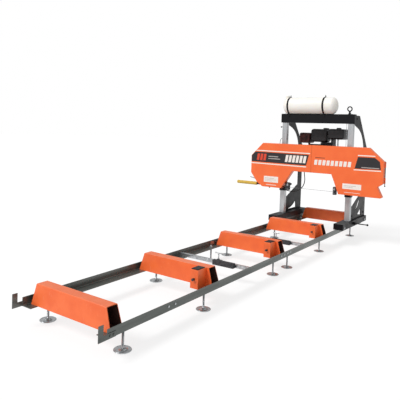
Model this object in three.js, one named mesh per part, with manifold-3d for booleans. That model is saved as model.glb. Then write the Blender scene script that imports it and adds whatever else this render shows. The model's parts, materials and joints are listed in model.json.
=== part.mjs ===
// Portable band sawmill, in millimetres.
// X runs across the track, Y along it away from its front end, Z is up.
// The floor is Z = 0, and the middle of the track is Y = 0.

import * as THREE from 'three';
import { mergeVertices } from 'three/addons/utils/BufferGeometryUtils.js';
import Module from 'manifold-3d';

const wasm = await Module();
wasm.setup();

// Common clearances and overruns
const gap = 0.3;
const overrun = 40;
const bite = 1;
const runningGap = 2;
const sweepSides = 12;
const wheelSides = 16;
const boltSides = 8;

// Track
const trackWidth = 880;
const trackLength = 5175;
const trackHeight = 149;
const railHeight = 65;
const railFlange = 100;
const railSheet = 6;
const spliceLength = 300;
const spliceSheet = 5;
const spliceHeight = 40;
const spliceBoltSpacing = 76;
const railBoltRadius = 6;
const railBoltHead = 5;
const frontBoltSetback = 604;

// Bunks
const bunkHeight = 160;
const bunkTopDepth = 96;
const bunkBottomDepth = 112;
const bunkSheet = 4;
const bunkEndGap = 24;
const bunkEndSlant = 49;
const bunkPlaceShares = [-0.957, -0.5065, 0, 0.481, 0.9536];

// Levelling feet: offsets are measured from the middle of the nearest bunk
const footRodRadius = 9;
const footRodAboveNut = 12;
const footDiscRadius = 62;
const footDiscEdge = 5;
const footDomeRadius = 30;
const footDomeHeight = 16;
const footNutRadius = 16;
const footNutHeight = 14;
const footInset = 51;
const footBehindFirst = 80;
const footAhead = 150;
const footBehind = 165;
const spliceFootAhead = 197;
const spliceFootBehind = 146;

// End stops
const stopReach = 80;
const stopTabLength = 42;
const stopTabHeight = 106;
const stopStripHeight = 36;
const stopLap = 70;
const stopSheet = 6;

// Side posts and their brackets
const bracketWidth = 78;
const bracketDepth = 112;
const bracketSheet = 4;
const bracketSide = 112;
const sidePostGap = 0.6;
const sidePostSheet = 4;
const sidePostRise = 6;
const lockScrewRadius = 7;
const lockKnobRadius = 17;
const lockKnobLength = 16;
const lockScrewReach = 16;

// Log clamps
const clampTubeSize = 34;
const clampTubeSheet = 3;
const clampPlaces = [-712, 566];
const clampSliderPlace = 44;
const clampSliderLength = 64;
const clampSliderWall = 5;
const clampDogLength = 172;
const clampDogHeight = 48;
const clampDogRise = 8;
const clampDogDepth = 40;
const clampScrewRadius = 6;
const clampScrewHeight = 62;
const clampHandleLength = 76;
const clampHandleRadius = 5;
const clampBossRadius = 11;
const clampBossHeight = 12;

// Carriage
const carriageStation = 1862;
const postSpacing = 980;
const postSize = 70;
const postSheet = 4;
const baseInside = 415;
const baseOutside = 545;
const baseFront = 345;
const baseRear = 700;
const baseClearance = 3;
const baseTop = 294;
const baseSheet = 5;
const wheelFront = 290;
const wheelRear = 605;
const wheelGrooveRadius = 32;
const wheelFlangeRadius = 40;
const wheelWidth = 26;
const wheelGrooveWidth = 9;
const axleRadius = 8;
const axleHeadRadius = 14;
const axleHeadHeight = 9;
const beamBottom = 1635;
const beamHeight = 130;
const beamDepth = 84;
const beamLength = 1090;
const beamSheet = 4;
const eyeOffset = 460;
const eyeRadius = 30;
const eyeBarRadius = 8;
const eyeStem = 44;
const eyeStemRadius = 13;
const drainRadius = 6;
const framePlace = 506;
const frameSheet = 9;
const frameBoltRadius = 12;
const frameBoltReach = 9;
const postKnobDrop = 66;
const postKnobRadius = 11;
const postKnobReach = 34;
const postStudRadius = 5;
const lockLeverPlace = 100;
const lockLeverLength = 190;
const lockForkReach = 26;
const lockForkSheet = 6;
const lockForkHeight = 34;
const lockPinRadius = 5;
const lockHubHalf = 8;
const lockLeverRadius = 7;
const lockBallRadius = 15;
const lockHubRadius = 12;

// Side frame outline: depth behind the guide post's rear face, and height
const frameDepth = 660;
const frameColumn = 145;
const frameTopDepth = 250;
const frameTop = 1757;
const frameKnee = 1285;
const armRootHeight = 462;
const armHipHeight = 676;
const windowHigh = 1600;
const windowShoulder = 1220;
const windowNose = 110;

// Curved openings in the side frame, as shares of its depth
const slotRise = 22;
const slotHeight = 110;
const slotShares = { low: [0.24, 0.7], peak: 0.66, bend: 0.55 };
const upperSlotShares = { start: 0.32, end: 0.58 };
const upperSlotLow = 126;
const upperSlotHigh = 250;
const upperSlotWidth = 44;

// Water tank
const tankRadius = 120;
const tankLength = 808;
const tankDome = 70;
const tankOffset = -117;
const tankWall = 4;
const tankFillRadius = 26;
const strapOffsets = [-423, 108];
const strapWidth = 26;
const strapSheet = 2.5;
const strapBoltRadius = 6;
const strapBoltHeight = 34;
const tankCapRadius = 32;
const tankCapHeight = 26;
const tankCapOffset = -472;
const tankNeckRadius = 30;

// Cover and back plate: the outline's own points are measured from the photo
const coverFront = 175;
const coverDepth = 75;
const coverSheet = 3;
const coverTop = 1322;
const coverBottom = 671;
const coverSeam = 3;
const throatTop = 935;
const throatLeft = -283;
const throatRight = 296;
const leftLobeInner = -452;
const rightLobeInner = 402;
const coverLeft = -954;
const coverRight = 984;
const topLeft = -768;
const topRight = 789;
const sideTopLeft = 1130;
const sideTopRight = 1148;
const sideLowLeft = 870;
const lowLeft = -758;
const lowRight = 958;
const cheekX = -850;
const cheekZ = 733;
const notchTopZ = 862;
const notchInX = 912;
const notchInZ = 812;
const notchTipX = 976;
const notchTipZ = 684;
const backSheet = 4;
const barrelRadius = 8;
const barrelLength = 46;
const pinRadius = 4.5;
const rightPinLow = 822;
const leftPinLow = 850;
const pinKnobRadius = 9;
const pinKnobHeight = 13;
const lugRadius = 6.5;
const lugHeight = 20;
const lugInset = 4;
const barrelInset = 30;
const bladeSlotMargin = 12;

// Band wheels and blade
const bandWheelSpread = 690;
const bandWheelHeight = 936;
const bandWheelRadius = 240;
const bandWheelWidth = 30;
const bandRim = 16;
const bandWeb = 8;
const bandHubRadius = 42;
const bandShaftRadius = 15;
const bandHousingRadius = 44;
const bandHousingLength = 80;
const bandHubReach = 2;
const bandHoleCount = 6;
const bandHoleRadius = 26;
const bandHoleCircle = 178;
const bandNutRadius = 24;
const bandNutHeight = 6;
const bandSpacerRadius = 24;
const bandSpacerReach = 4;
const beltSetback = 59;
const bladeWidth = 32;
const bladeThickness = 1.1;
const bladeSetback = 16;
const bladeClearance = 0.9;
const beltWidth = 13;
const beltThickness = 9;
const drivenPulleyRadius = 118;
const enginePulleyRadius = 46;
const pulleyCheek = 2.5;

// Head frame
const sleeveGap = 3;
const sleeveWall = 5;
const sleeveLow = 625;
const sleeveRise = 144;
const crossTubeSize = 60;
const crossTubeSheet = 4;
const lowTubeHeight = 990;
const spacerHalf = 24;
const spacerHeight = 60;
const lowSpacer = 960;
const highSpacerRise = 62;
const plateLeft = -215;
const plateRight = 345;
const plateDepth = 375;
const gussetDrop = 112;
const gussetInset = 16;

// Engine: places are measured from the middle of its shaft
const engineX = 80;
const engineShaftRise = 118;
const enginePlateHeight = 1118;
const enginePlateSheet = 8;
const engineFront = 150;
const engineDepth = 190;
const engineWidth = 190;
const engineBoreDepth = 40;
const engineShaftRadius = 12.5;
const crankcaseHeight = 174;
const cylinderWidth = 172;
const cylinderInset = 20;
const fuelPostWidth = 30;
const finCount = 5;
const finSheet = 5;
const finReach = 9;
const recoilRadius = 104;
const recoilDepth = 62;
const recoilGripRadius = 9;
const recoilGripLength = 60;
const fuelWidth = 236;
const fuelDepth = 270;
const fuelRound = 36;
const fuelHeight = 150;
const fuelOffset = 148;
const fuelRise = 294;
const fuelCapRadius = 34;
const fuelCapHeight = 18;
const airWidth = 244;
const airDepth = 190;
const airHeight = 190;
const airOffset = -112;
const airRise = 248;
const airRound = 40;
const airKnobOffset = 79;
const airKnobWidth = 54;
const airKnobHeight = 17;
const mufflerWidth = 160;
const mufflerDepth = 190;
const mufflerHeight = 150;
const mufflerOffset = -328;
const mufflerRise = 227;
const mufflerRound = 24;
const mufflerSheet = 3;
const outletRadius = 13;
const exhaustRadius = 16;
const exhaustOffset = -290;
const exhaustRise = 198;
const exhaustSetback = 95;

// Blade guides
const guideBlockWidth = 40;
const guideLow = 654;
const guideHigh = 762;
const guideFront = 160;
const guideRear = 104;
const guideSlot = 4;
const guideArmSize = 28;
const guideArmHeight = 735;
const guideArmSetback = 71;
const guideArmLength = 420;
const guideBracketWall = 7;
const guideBracketWidth = 70;
const leftGuideX = -352;
const rightGuideX = 341;
const guideRollerRadius = 11;
const guideRollerReach = 6;

// Push handle and throttle
const handleHeight = 692;
const handleSetback = 36;
const handleRadius = 15;
const handleReach = 1262;
const gripRadius = 25;
const gripLength = 346;
const gripWall = 5;
const rootFlangeRadius = 28;
const rootFlangeLength = 14;
const throttleX = -892;
const throttleZ = 752;
const throttleLength = 150;
const throttleRise = 34;
const throttleSheet = 8;
const throttleHub = 13;
const throttlePinRadius = 5;
const forkWidth = 40;
const forkSheet = 6;
const forkTop = 768;

// Blade tension handle
const tensionScrewRadius = 9;
const tensionReach = 920;
const tensionBarHalf = 72;
const tensionBarRadius = 8;
const tensionDrop = 26;
const tensionSetback = 10;
const tensionBlockHalf = 28;
const tensionBlockEnd = 640;
const tensionStart = 560;

// Lift crank and rope
const crankRise = 42;
const crankSetback = 64;
const drumRadius = 26;
const drumLength = 52;
const drumCheekRadius = 42;
const drumCheek = 5;
const drumX = 404;
const crankShaftRadius = 9;
const crankLugHalf = 20;
const crankArmX = 600;
const crankArmSheet = 9;
const crankArmWidth = 24;
const crankThrow = 140;
const crankKnobRadius = 14;
const crankKnobLength = 86;
const ropeRadius = 3;
const ropeTurns = 3;
const ropePitch = 7.2;
const ropeSides = 6;
const loopSteps = 24;
const ropeBend = 8;
const ropeSocket = 8;
const ropeEaseShare = 0.7;

// Water hose and throttle cable, routes chosen by hand
const hoseRadius = 6;
const cableRadius = 3.5;
const cordSides = 8;
const cordLead = 12;
const hoseSteps = 28;
const cableSteps = 54;

const halfWidth = trackWidth / 2;
const halfTrack = trackLength / 2;
const railTop = trackHeight + railHeight;
const flangeTop = trackHeight + railSheet;
const footX = halfWidth - footInset;
const bunkTop = flangeTop + gap + bunkHeight;
const beamTop = beamBottom + beamHeight;
const sleeveHigh = enginePlateHeight + sleeveRise;
const engineShaftHeight = enginePlateHeight + engineShaftRise;
const highSpacer = enginePlateHeight + highSpacerRise;
const tensionHeight = enginePlateHeight - tensionDrop;
const crankHeight = enginePlateHeight + crankRise;
const fuelBottom = enginePlateHeight + fuelRise;
const airBottom = enginePlateHeight + airRise;
const mufflerBottom = enginePlateHeight + mufflerRise;
const exhaustX = engineX + exhaustOffset;
const exhaustY = engineFront + exhaustSetback;
const exhaustZ = enginePlateHeight + exhaustRise;

function finish(color, roughness, metalness) {
  return new THREE.MeshStandardMaterial({ color, roughness, metalness });
}

const orangePaint = finish(0xf2702d, 0.4, 0.1);
const blackPaint = finish(0x26262a, 0.45, 0.2);
const railSteel = finish(0x6b6a66, 0.35, 0.8);
const zincSteel = finish(0xb9bcc0, 0.35, 0.9);
const silverPaint = finish(0xa9acb0, 0.4, 0.6);
const castIron = finish(0x55565a, 0.6, 0.7);
const engineMetal = finish(0x4a4b4f, 0.6, 0.6);
const bladeSteel = finish(0x9fa3a8, 0.3, 0.95);
const blackRubber = finish(0x19191b, 0.9, 0);
const blackPlastic = finish(0x1d1d20, 0.55, 0);
const whitePlastic = finish(0xeeeae2, 0.45, 0);
const yellowGrip = finish(0xe2c04f, 0.6, 0);
const mufflerSteel = finish(0x3a2624, 0.6, 0.5);

// Solid helpers

function toSolid(geometry) {
  const bare = geometry.index ? geometry.toNonIndexed() : geometry.clone();
  bare.deleteAttribute('normal');
  bare.deleteAttribute('uv');
  const merged = mergeVertices(bare);
  const corners = merged.index.array;
  const triangles = [];
  for (let start = 0; start < corners.length; start += 3) {
    const [a, b, c] = corners.slice(start, start + 3);
    if (a !== b && b !== c && c !== a) triangles.push(a, b, c);
  }
  return new wasm.Manifold(new wasm.Mesh({
    numProp: 3,
    vertProperties: new Float32Array(merged.attributes.position.array),
    triVerts: new Uint32Array(triangles),
  }));
}

function toGeometry(solid) {
  const mesh = solid.getMesh();
  const geometry = new THREE.BufferGeometry();
  geometry.setAttribute('position', new THREE.BufferAttribute(mesh.vertProperties, 3));
  geometry.setIndex(new THREE.BufferAttribute(mesh.triVerts, 1));
  return geometry;
}

function fuse(pieces) {
  const solid = pieces.map(toSolid).reduce((whole, piece) => whole.add(piece));
  return toGeometry(solid);
}

function carve(body, tools) {
  const solid = tools.map(toSolid).reduce((whole, tool) => whole.subtract(tool), toSolid(body));
  return toGeometry(solid);
}

// A box from its low and high corners
function block(x0, x1, y0, y1, z0, z1) {
  const geometry = new THREE.BoxGeometry(x1 - x0, y1 - y0, z1 - z0);
  return geometry.translate((x0 + x1) / 2, (y0 + y1) / 2, (z0 + z1) / 2);
}

// Round bars along each axis, from low to high
function barX(radius, x0, x1, y, z, sides = sweepSides) {
  const geometry = new THREE.CylinderGeometry(radius, radius, x1 - x0, sides);
  return geometry.rotateZ(Math.PI / 2).translate((x0 + x1) / 2, y, z);
}

function barY(radius, y0, y1, x, z, sides = sweepSides) {
  const geometry = new THREE.CylinderGeometry(radius, radius, y1 - y0, sides);
  return geometry.translate(x, (y0 + y1) / 2, z);
}

function barZ(radius, z0, z1, x, y, sides = sweepSides) {
  const geometry = new THREE.CylinderGeometry(radius, radius, z1 - z0, sides);
  return geometry.rotateX(Math.PI / 2).translate(x, y, (z0 + z1) / 2);
}

// A turned solid about the Y axis, from a closed outline of radius and height
function turned(profile, sides = sweepSides) {
  const points = profile.map(([radius, y]) => new THREE.Vector2(radius, y));
  if (THREE.ShapeUtils.area(points) < 0) points.reverse();
  points.push(points[0].clone());
  return new THREE.LatheGeometry(points, sides);
}

function hexZ(radius, z0, z1, x, y) {
  return barZ(radius, z0, z1, x, y, 6);
}

function outlineShape(points) {
  return new THREE.Shape(points.map(([a, b]) => new THREE.Vector2(a, b)));
}

// An outline in X and Z, as thick as y1 - y0
function plateY(shape, y0, y1, curveSegments = 8) {
  const geometry = new THREE.ExtrudeGeometry(shape, { depth: y1 - y0, bevelEnabled: false, curveSegments });
  return geometry.rotateX(Math.PI / 2).translate(0, y1, 0);
}

// An outline in Y and Z, as thick as x1 - x0
function plateX(shape, x0, x1, curveSegments = 8) {
  const geometry = new THREE.ExtrudeGeometry(shape, { depth: x1 - x0, bevelEnabled: false, curveSegments });
  return geometry.rotateX(Math.PI / 2).rotateZ(Math.PI / 2).translate(x0, 0, 0);
}

// An outline in X and Y, as thick as z1 - z0
function plateZ(shape, z0, z1, curveSegments = 8) {
  const geometry = new THREE.ExtrudeGeometry(shape, { depth: z1 - z0, bevelEnabled: false, curveSegments });
  return geometry.translate(0, 0, z0);
}

function roundedRect(x0, x1, y0, y1, radius) {
  const shape = new THREE.Shape();
  shape.moveTo(x0 + radius, y0);
  shape.lineTo(x1 - radius, y0);
  shape.quadraticCurveTo(x1, y0, x1, y0 + radius);
  shape.lineTo(x1, y1 - radius);
  shape.quadraticCurveTo(x1, y1, x1 - radius, y1);
  shape.lineTo(x0 + radius, y1);
  shape.quadraticCurveTo(x0, y1, x0, y1 - radius);
  shape.lineTo(x0, y0 + radius);
  shape.quadraticCurveTo(x0, y0, x0 + radius, y0);
  return shape;
}

function cord(points, radius, sides, steps) {
  const path = new THREE.CatmullRomCurve3(points.map((point) => new THREE.Vector3(...point)));
  const section = new THREE.Shape();
  section.absarc(0, 0, radius, 0, 2 * Math.PI);
  return new THREE.ExtrudeGeometry(section, {
    steps, bevelEnabled: false, extrudePath: path, curveSegments: sides / 2,
  });
}

// An outline moved inwards by one distance for each edge; point i starts edge i, points run anticlockwise
function inset(points, distances) {
  const count = points.length;
  const lines = points.map(([x, z], index) => {
    const [nextX, nextZ] = points[(index + 1) % count];
    const length = Math.hypot(nextX - x, nextZ - z);
    const along = [(nextX - x) / length, (nextZ - z) / length];
    const inward = [-along[1] * distances[index], along[0] * distances[index]];
    return { start: [x + inward[0], z + inward[1]], along };
  });
  return lines.map((line, index) => {
    const before = lines[(index + count - 1) % count];
    const cross = before.along[0] * line.along[1] - before.along[1] * line.along[0];
    const offset = [line.start[0] - before.start[0], line.start[1] - before.start[1]];
    const travel = (offset[0] * line.along[1] - offset[1] * line.along[0]) / cross;
    return [before.start[0] + before.along[0] * travel, before.start[1] + before.along[1] * travel];
  });
}

// Scene graph

const sawmill = new THREE.Group();
const track = new THREE.Group();
const carriage = new THREE.Group();
const head = new THREE.Group();
carriage.position.y = carriageStation;
carriage.add(head);
sawmill.add(track, carriage);

function add(group, name, geometry, material) {
  const mesh = new THREE.Mesh(geometry, material);
  mesh.name = name;
  group.add(mesh);
}

// Track

const bunkPlaces = bunkPlaceShares.map((share) => share * halfTrack);
const sides = [{ name: 'right', sign: 1 }, { name: 'left', sign: -1 }];

function footStations(sign) {
  const ahead = sign > 0 ? -footAhead : footBehind;
  return [
    bunkPlaces[0] + footBehindFirst,
    bunkPlaces[1] + ahead,
    bunkPlaces[2] - spliceFootAhead,
    bunkPlaces[2] + spliceFootBehind,
    bunkPlaces[3] + ahead,
    bunkPlaces[4] - footAhead,
  ];
}

// Half of a rail: the web stands at the outside, and the flange points to the middle
function railHalf(start, end) {
  const web = block(halfWidth - railSheet, halfWidth, start, end, trackHeight, railTop);
  const flange = block(halfWidth - railFlange, halfWidth, start, end, trackHeight, flangeTop);
  return [web, flange];
}

const spliceMiddle = flangeTop + (railHeight - railSheet) / 2;
const spliceBoltPlaces = [-1, 1].flatMap((sign) => (
  [sign * spliceBoltSpacing / 2, sign * (spliceLength - spliceBoltSpacing) / 2]));

// The splice plate lies inside the webs of both halves, and its bolts pass through to the outside
function splicePlate() {
  const face = halfWidth - railSheet - gap;
  const plate = block(face - spliceSheet, face, -spliceLength / 2, spliceLength / 2,
    spliceMiddle - spliceHeight / 2, spliceMiddle + spliceHeight / 2);
  const bolts = spliceBoltPlaces.flatMap((y) => [
    barX(railBoltRadius - bite, face - bite, halfWidth + railBoltHead, y, spliceMiddle, boltSides),
    barX(railBoltRadius + bite, halfWidth + gap, halfWidth + gap + railBoltHead, y, spliceMiddle, 6),
  ]);
  return fuse([plate, ...bolts]);
}

// A J-shaped plate outside the web, whose tab stands in the carriage's way
function endStop() {
  const front = -halfTrack - stopReach;
  const shape = outlineShape([
    [front, trackHeight], [-halfTrack + stopLap, trackHeight],
    [-halfTrack + stopLap, trackHeight + stopStripHeight],
    [front + stopTabLength, trackHeight + stopStripHeight],
    [front + stopTabLength, trackHeight + stopTabHeight], [front, trackHeight + stopTabHeight],
  ]);
  return plateX(shape, halfWidth - bite, halfWidth - bite + stopSheet);
}

function rail(feet, isFront) {
  const stop = isFront ? endStop() : mirrorY(endStop());
  const [start, end] = isFront ? [-halfTrack, -gap / 2] : [gap / 2, halfTrack];
  const body = fuse([...railHalf(start, end), stop, ...feet.map(levellingFoot)]);
  if (isFront) {
    const frontBolt = -halfTrack + frontBoltSetback;
    const heads = [frontBolt, frontBolt + spliceBoltSpacing].map((y) => (
      barX(railBoltRadius, halfWidth - bite, halfWidth + railBoltHead, y, spliceMiddle, 6)));
    return fuse([body, ...heads, splicePlate()]);
  }
  const holes = spliceBoltPlaces.map((y) => (
    barX(railBoltRadius, halfWidth - overrun, halfWidth + overrun, y, spliceMiddle, boltSides)));
  return carve(body, holes);
}

// Each foot is a pressed disc under a threaded rod, with a nut on each side of the flange
function levellingFoot(y) {
  const disc = turned([
    [0, 0], [footDiscRadius, 0], [footDiscRadius, footDiscEdge], [footDomeRadius, footDiscEdge],
    [footNutRadius, footDomeHeight], [0, footDomeHeight],
  ], 12).rotateX(Math.PI / 2).translate(footX, y, 0);
  const rodTop = flangeTop + footNutHeight + footRodAboveNut;
  const rod = barZ(footRodRadius, footDiscEdge, rodTop, footX, y, boltSides);
  const lowNut = hexZ(footNutRadius, trackHeight - footNutHeight, trackHeight + bite, footX, y);
  const highNut = hexZ(footNutRadius, flangeTop - bite, flangeTop + footNutHeight, footX, y);
  return fuse([disc, rod, lowNut, highNut]);
}

// A bunk is a folded trapezoid, open at both ends, and some carry a side-post bracket on their front
function bunk(y, hasBracket) {
  const bottom = flangeTop + gap;
  const half = halfWidth - railSheet - bunkEndGap;
  const halfTop = half - bunkEndSlant;
  const section = outlineShape([
    [y - bunkBottomDepth / 2, bottom], [y + bunkBottomDepth / 2, bottom],
    [y + bunkTopDepth / 2, bunkTop], [y - bunkTopDepth / 2, bunkTop],
  ]);
  const hollow = outlineShape([
    [y - bunkBottomDepth / 2 + bunkSheet, bottom + bunkSheet],
    [y + bunkBottomDepth / 2 - bunkSheet, bottom + bunkSheet],
    [y + bunkTopDepth / 2 - bunkSheet, bunkTop - bunkSheet],
    [y - bunkTopDepth / 2 + bunkSheet, bunkTop - bunkSheet],
  ]);
  const side = outlineShape([[-half, bottom], [half, bottom], [halfTop, bunkTop], [-halfTop, bunkTop]]);
  const beam = toSolid(plateX(section, -half - overrun, half + overrun));
  const ends = toSolid(plateY(side, y - bunkBottomDepth, y + bunkBottomDepth));
  const body = toGeometry(beam.intersect(ends));
  const bore = plateX(hollow, -half - 2 * overrun, half + 2 * overrun);
  if (!hasBracket) return carve(body, [bore]);
  const { shell, screw, socket } = sidePostBracket(y);
  return fuse([carve(fuse([body, shell]), [bore, socket]), screw]);
}

const bracketX = halfWidth - railSheet - bunkEndGap - bracketSide;

function bracketCentre(bunkY) {
  return bunkY - (bunkBottomDepth + bracketDepth) / 2;
}

function sidePostBracket(bunkY) {
  const y = bracketCentre(bunkY);
  const halfX = bracketWidth / 2;
  const halfY = bracketDepth / 2;
  const low = flangeTop + gap;
  const shell = block(bracketX - halfX, bracketX + halfX, y - halfY, y + halfY + bunkBottomDepth / 2,
    low, bunkTop);
  const socket = block(bracketX - halfX + bracketSheet, bracketX + halfX - bracketSheet,
    y - halfY + bracketSheet, y + halfY - bracketSheet, low + bracketSheet, bunkTop + overrun);
  const face = y - halfY;
  const middle = (low + bunkTop) / 2;
  const screw = fuse([
    barY(lockScrewRadius, face - lockScrewReach - bite, face + bite, bracketX, middle, 12),
    barY(lockKnobRadius, face - lockScrewReach - lockKnobLength, face - lockScrewReach, bracketX, middle, 12),
  ]);
  return { shell, screw, socket };
}

// A mirror image through the plane Y = 0, with its faces turned back outwards
function mirrorY(geometry) {
  return toGeometry(toSolid(geometry).mirror([0, 1, 0]));
}

function mirrorX(geometry) {
  return toGeometry(toSolid(geometry).mirror([1, 0, 0]));
}

const bracketBunks = [1, 2, 3];

for (const { name, sign } of sides) {
  const place = sign > 0 ? (geometry) => geometry : mirrorX;
  const feet = footStations(sign);
  const frontFeet = feet.filter((y) => y < 0);
  const rearFeet = feet.filter((y) => y > 0);
  add(track, `rail_${name}_front`, place(rail(frontFeet, true)), railSteel);
  add(track, `rail_${name}_rear`, place(rail(rearFeet, false)), railSteel);
}

bunkPlaces.forEach((y, index) => {
  add(track, `bunk_${index + 1}`, bunk(y, bracketBunks.includes(index)), orangePaint);
});

// A side post slides in its bracket's socket and is closed at its top
function sidePost(bunkY) {
  const y = bracketCentre(bunkY);
  const halfX = bracketWidth / 2 - bracketSheet - sidePostGap;
  const halfY = bracketDepth / 2 - bracketSheet - sidePostGap;
  const low = flangeTop + 2 * gap + bracketSheet;
  const tube = block(bracketX - halfX, bracketX + halfX, y - halfY, y + halfY, low, bunkTop + sidePostRise);
  const bore = block(bracketX - halfX + sidePostSheet, bracketX + halfX - sidePostSheet,
    y - halfY + sidePostSheet, y + halfY - sidePostSheet, low - overrun, bunkTop);
  return carve(tube, [bore]);
}

bracketBunks.forEach((index, order) => {
  add(track, `side_post_${order + 1}`, sidePost(bunkPlaces[index]), blackPaint);
});

// Log clamps: a cross tube lies on the rails' flanges, and a slider with a dog bar runs on it
const clampTubeZ = flangeTop + gap + clampTubeSize / 2;
const clampTubeEnd = halfWidth - railSheet - gap;

function clampTube(y) {
  const half = clampTubeSize / 2;
  const tube = block(-clampTubeEnd, clampTubeEnd, y - half, y + half, clampTubeZ - half, clampTubeZ + half);
  const inner = half - clampTubeSheet;
  const bore = block(-halfWidth, halfWidth, y - inner, y + inner, clampTubeZ - inner, clampTubeZ + inner);
  return carve(tube, [bore]);
}

function clampSlider(y) {
  const hole = clampTubeSize / 2 + gap;
  const outer = hole + clampSliderWall;
  const x0 = clampSliderPlace - clampSliderLength / 2;
  const x1 = clampSliderPlace + clampSliderLength / 2;
  const sleeve = block(x0, x1, y - outer, y + outer, clampTubeZ - outer, clampTubeZ + outer);
  const boss = barZ(clampBossRadius, clampTubeZ + hole, clampTubeZ + outer + clampBossHeight,
    clampSliderPlace, y, 12);
  const armLow = clampTubeZ + clampDogRise - clampDogHeight / 2;
  const arm = block(x0, x1 + clampDogLength, y - outer - clampDogDepth, y - outer + gap,
    armLow, armLow + clampDogHeight);
  const tunnel = block(x0 - overrun, x1 + overrun, y - hole, y + hole, clampTubeZ - hole, clampTubeZ + hole);
  const screwHole = barZ(clampScrewRadius + gap, clampTubeZ, clampTubeZ + 2 * overrun + outer,
    clampSliderPlace, y, 12);
  return carve(fuse([sleeve, boss, arm]), [tunnel, screwHole]);
}

function clampHandle(y) {
  const low = clampTubeZ + clampTubeSize / 2 + 2 * gap;
  const high = clampTubeZ + clampTubeSize / 2 + clampBossHeight + clampScrewHeight;
  return fuse([
    barZ(clampScrewRadius, low, high, clampSliderPlace, y, 12),
    barX(clampHandleRadius, clampSliderPlace - clampHandleLength / 2,
      clampSliderPlace + clampHandleLength / 2, y, high, 12),
  ]);
}

clampPlaces.forEach((y, index) => {
  add(track, `clamp_tube_${index + 1}`, clampTube(y), zincSteel);
  add(track, `log_clamp_${index + 1}`, clampSlider(y), castIron);
  add(track, `clamp_screw_${index + 1}`, clampHandle(y), zincSteel);
});

// Carriage, measured from the middle of the guide posts

const postX = postSpacing / 2;
const halfPost = postSize / 2;
const baseBottom = railTop + baseClearance;
const wheelX = halfWidth - railSheet / 2;
const axleZ = railTop + wheelGrooveRadius + gap;

const lockZ = (baseBottom + baseTop) / 2;

function baseBeam(hasFork) {
  const shell = block(baseInside, baseOutside, -baseFront, baseRear, baseBottom, baseTop);
  const hollow = block(baseInside + baseSheet, baseOutside - baseSheet, -baseFront + baseSheet,
    baseRear - baseSheet, baseBottom - overrun, baseTop - baseSheet);
  const axles = [-wheelFront, wheelRear].flatMap(axle);
  const fork = hasFork ? [lockFork()] : [];
  return fuse([carve(shell, [hollow]), ...axles, ...fork]);
}

// Each axle is flush with the beam's inner side, and has a head outside and a spacer tube beside the wheel
function axle(y) {
  const inner = baseInside + bite;
  const outer = baseOutside + axleHeadHeight;
  return [
    barX(axleRadius, inner, outer, y, axleZ, boltSides),
    barX(axleHeadRadius, baseOutside - bite, outer, y, axleZ, 6),
    barX(axleHeadRadius, wheelX + wheelWidth / 2 + gap, baseOutside - bite, y, axleZ, 12),
  ];
}

// The lock lever turns on a pin between two cheeks on the base's outer side
function lockFork() {
  const reach = baseOutside + lockForkReach;
  const inner = lockHubHalf + gap;
  const cheeks = [-1, 1].map((sign) => {
    const near = lockLeverPlace + sign * inner;
    const far = lockLeverPlace + sign * (inner + lockForkSheet);
    return block(baseOutside - bite, reach, Math.min(near, far), Math.max(near, far),
      lockZ - lockForkHeight / 2, lockZ + lockForkHeight / 2);
  });
  const pin = barY(lockPinRadius, lockLeverPlace - inner - bite, lockLeverPlace + inner + bite,
    lockPinX, lockZ, 12);
  return fuse([...cheeks, pin]);
}

const lockPinX = baseOutside + lockForkReach / 2;

function trackWheel(y) {
  const half = wheelWidth / 2;
  const groove = wheelGrooveWidth / 2;
  const profile = [
    [axleRadius + gap, -half], [wheelFlangeRadius, -half], [wheelFlangeRadius, -groove],
    [wheelGrooveRadius, -groove], [wheelGrooveRadius, groove], [wheelFlangeRadius, groove],
    [wheelFlangeRadius, half], [axleRadius + gap, half], [axleRadius + gap, -half],
  ].map(([radius, z]) => new THREE.Vector2(radius, z));
  return new THREE.LatheGeometry(profile, wheelSides).rotateZ(-Math.PI / 2).translate(wheelX, y, axleZ);
}

function guidePost(hasKnob) {
  const low = baseTop + gap;
  const tube = block(postX - halfPost, postX + halfPost, -halfPost, halfPost, low, beamBottom - gap);
  const inner = halfPost - postSheet;
  const bore = block(postX - inner, postX + inner, -inner, inner, low - overrun, beamBottom + overrun);
  if (!hasKnob) return carve(tube, [bore]);
  const knobZ = beamBottom - postKnobDrop;
  const face = postX + halfPost;
  const stud = barX(postStudRadius, face - bite, face + postKnobReach, 0, knobZ, 10);
  const ball = new THREE.SphereGeometry(postKnobRadius, 12, 8).translate(face + postKnobReach, 0, knobZ);
  return fuse([carve(tube, [bore]), stud, ball]);
}

const sleeveInner = halfPost + sleeveGap;
const sleeveOuter = sleeveInner + sleeveWall;

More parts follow.
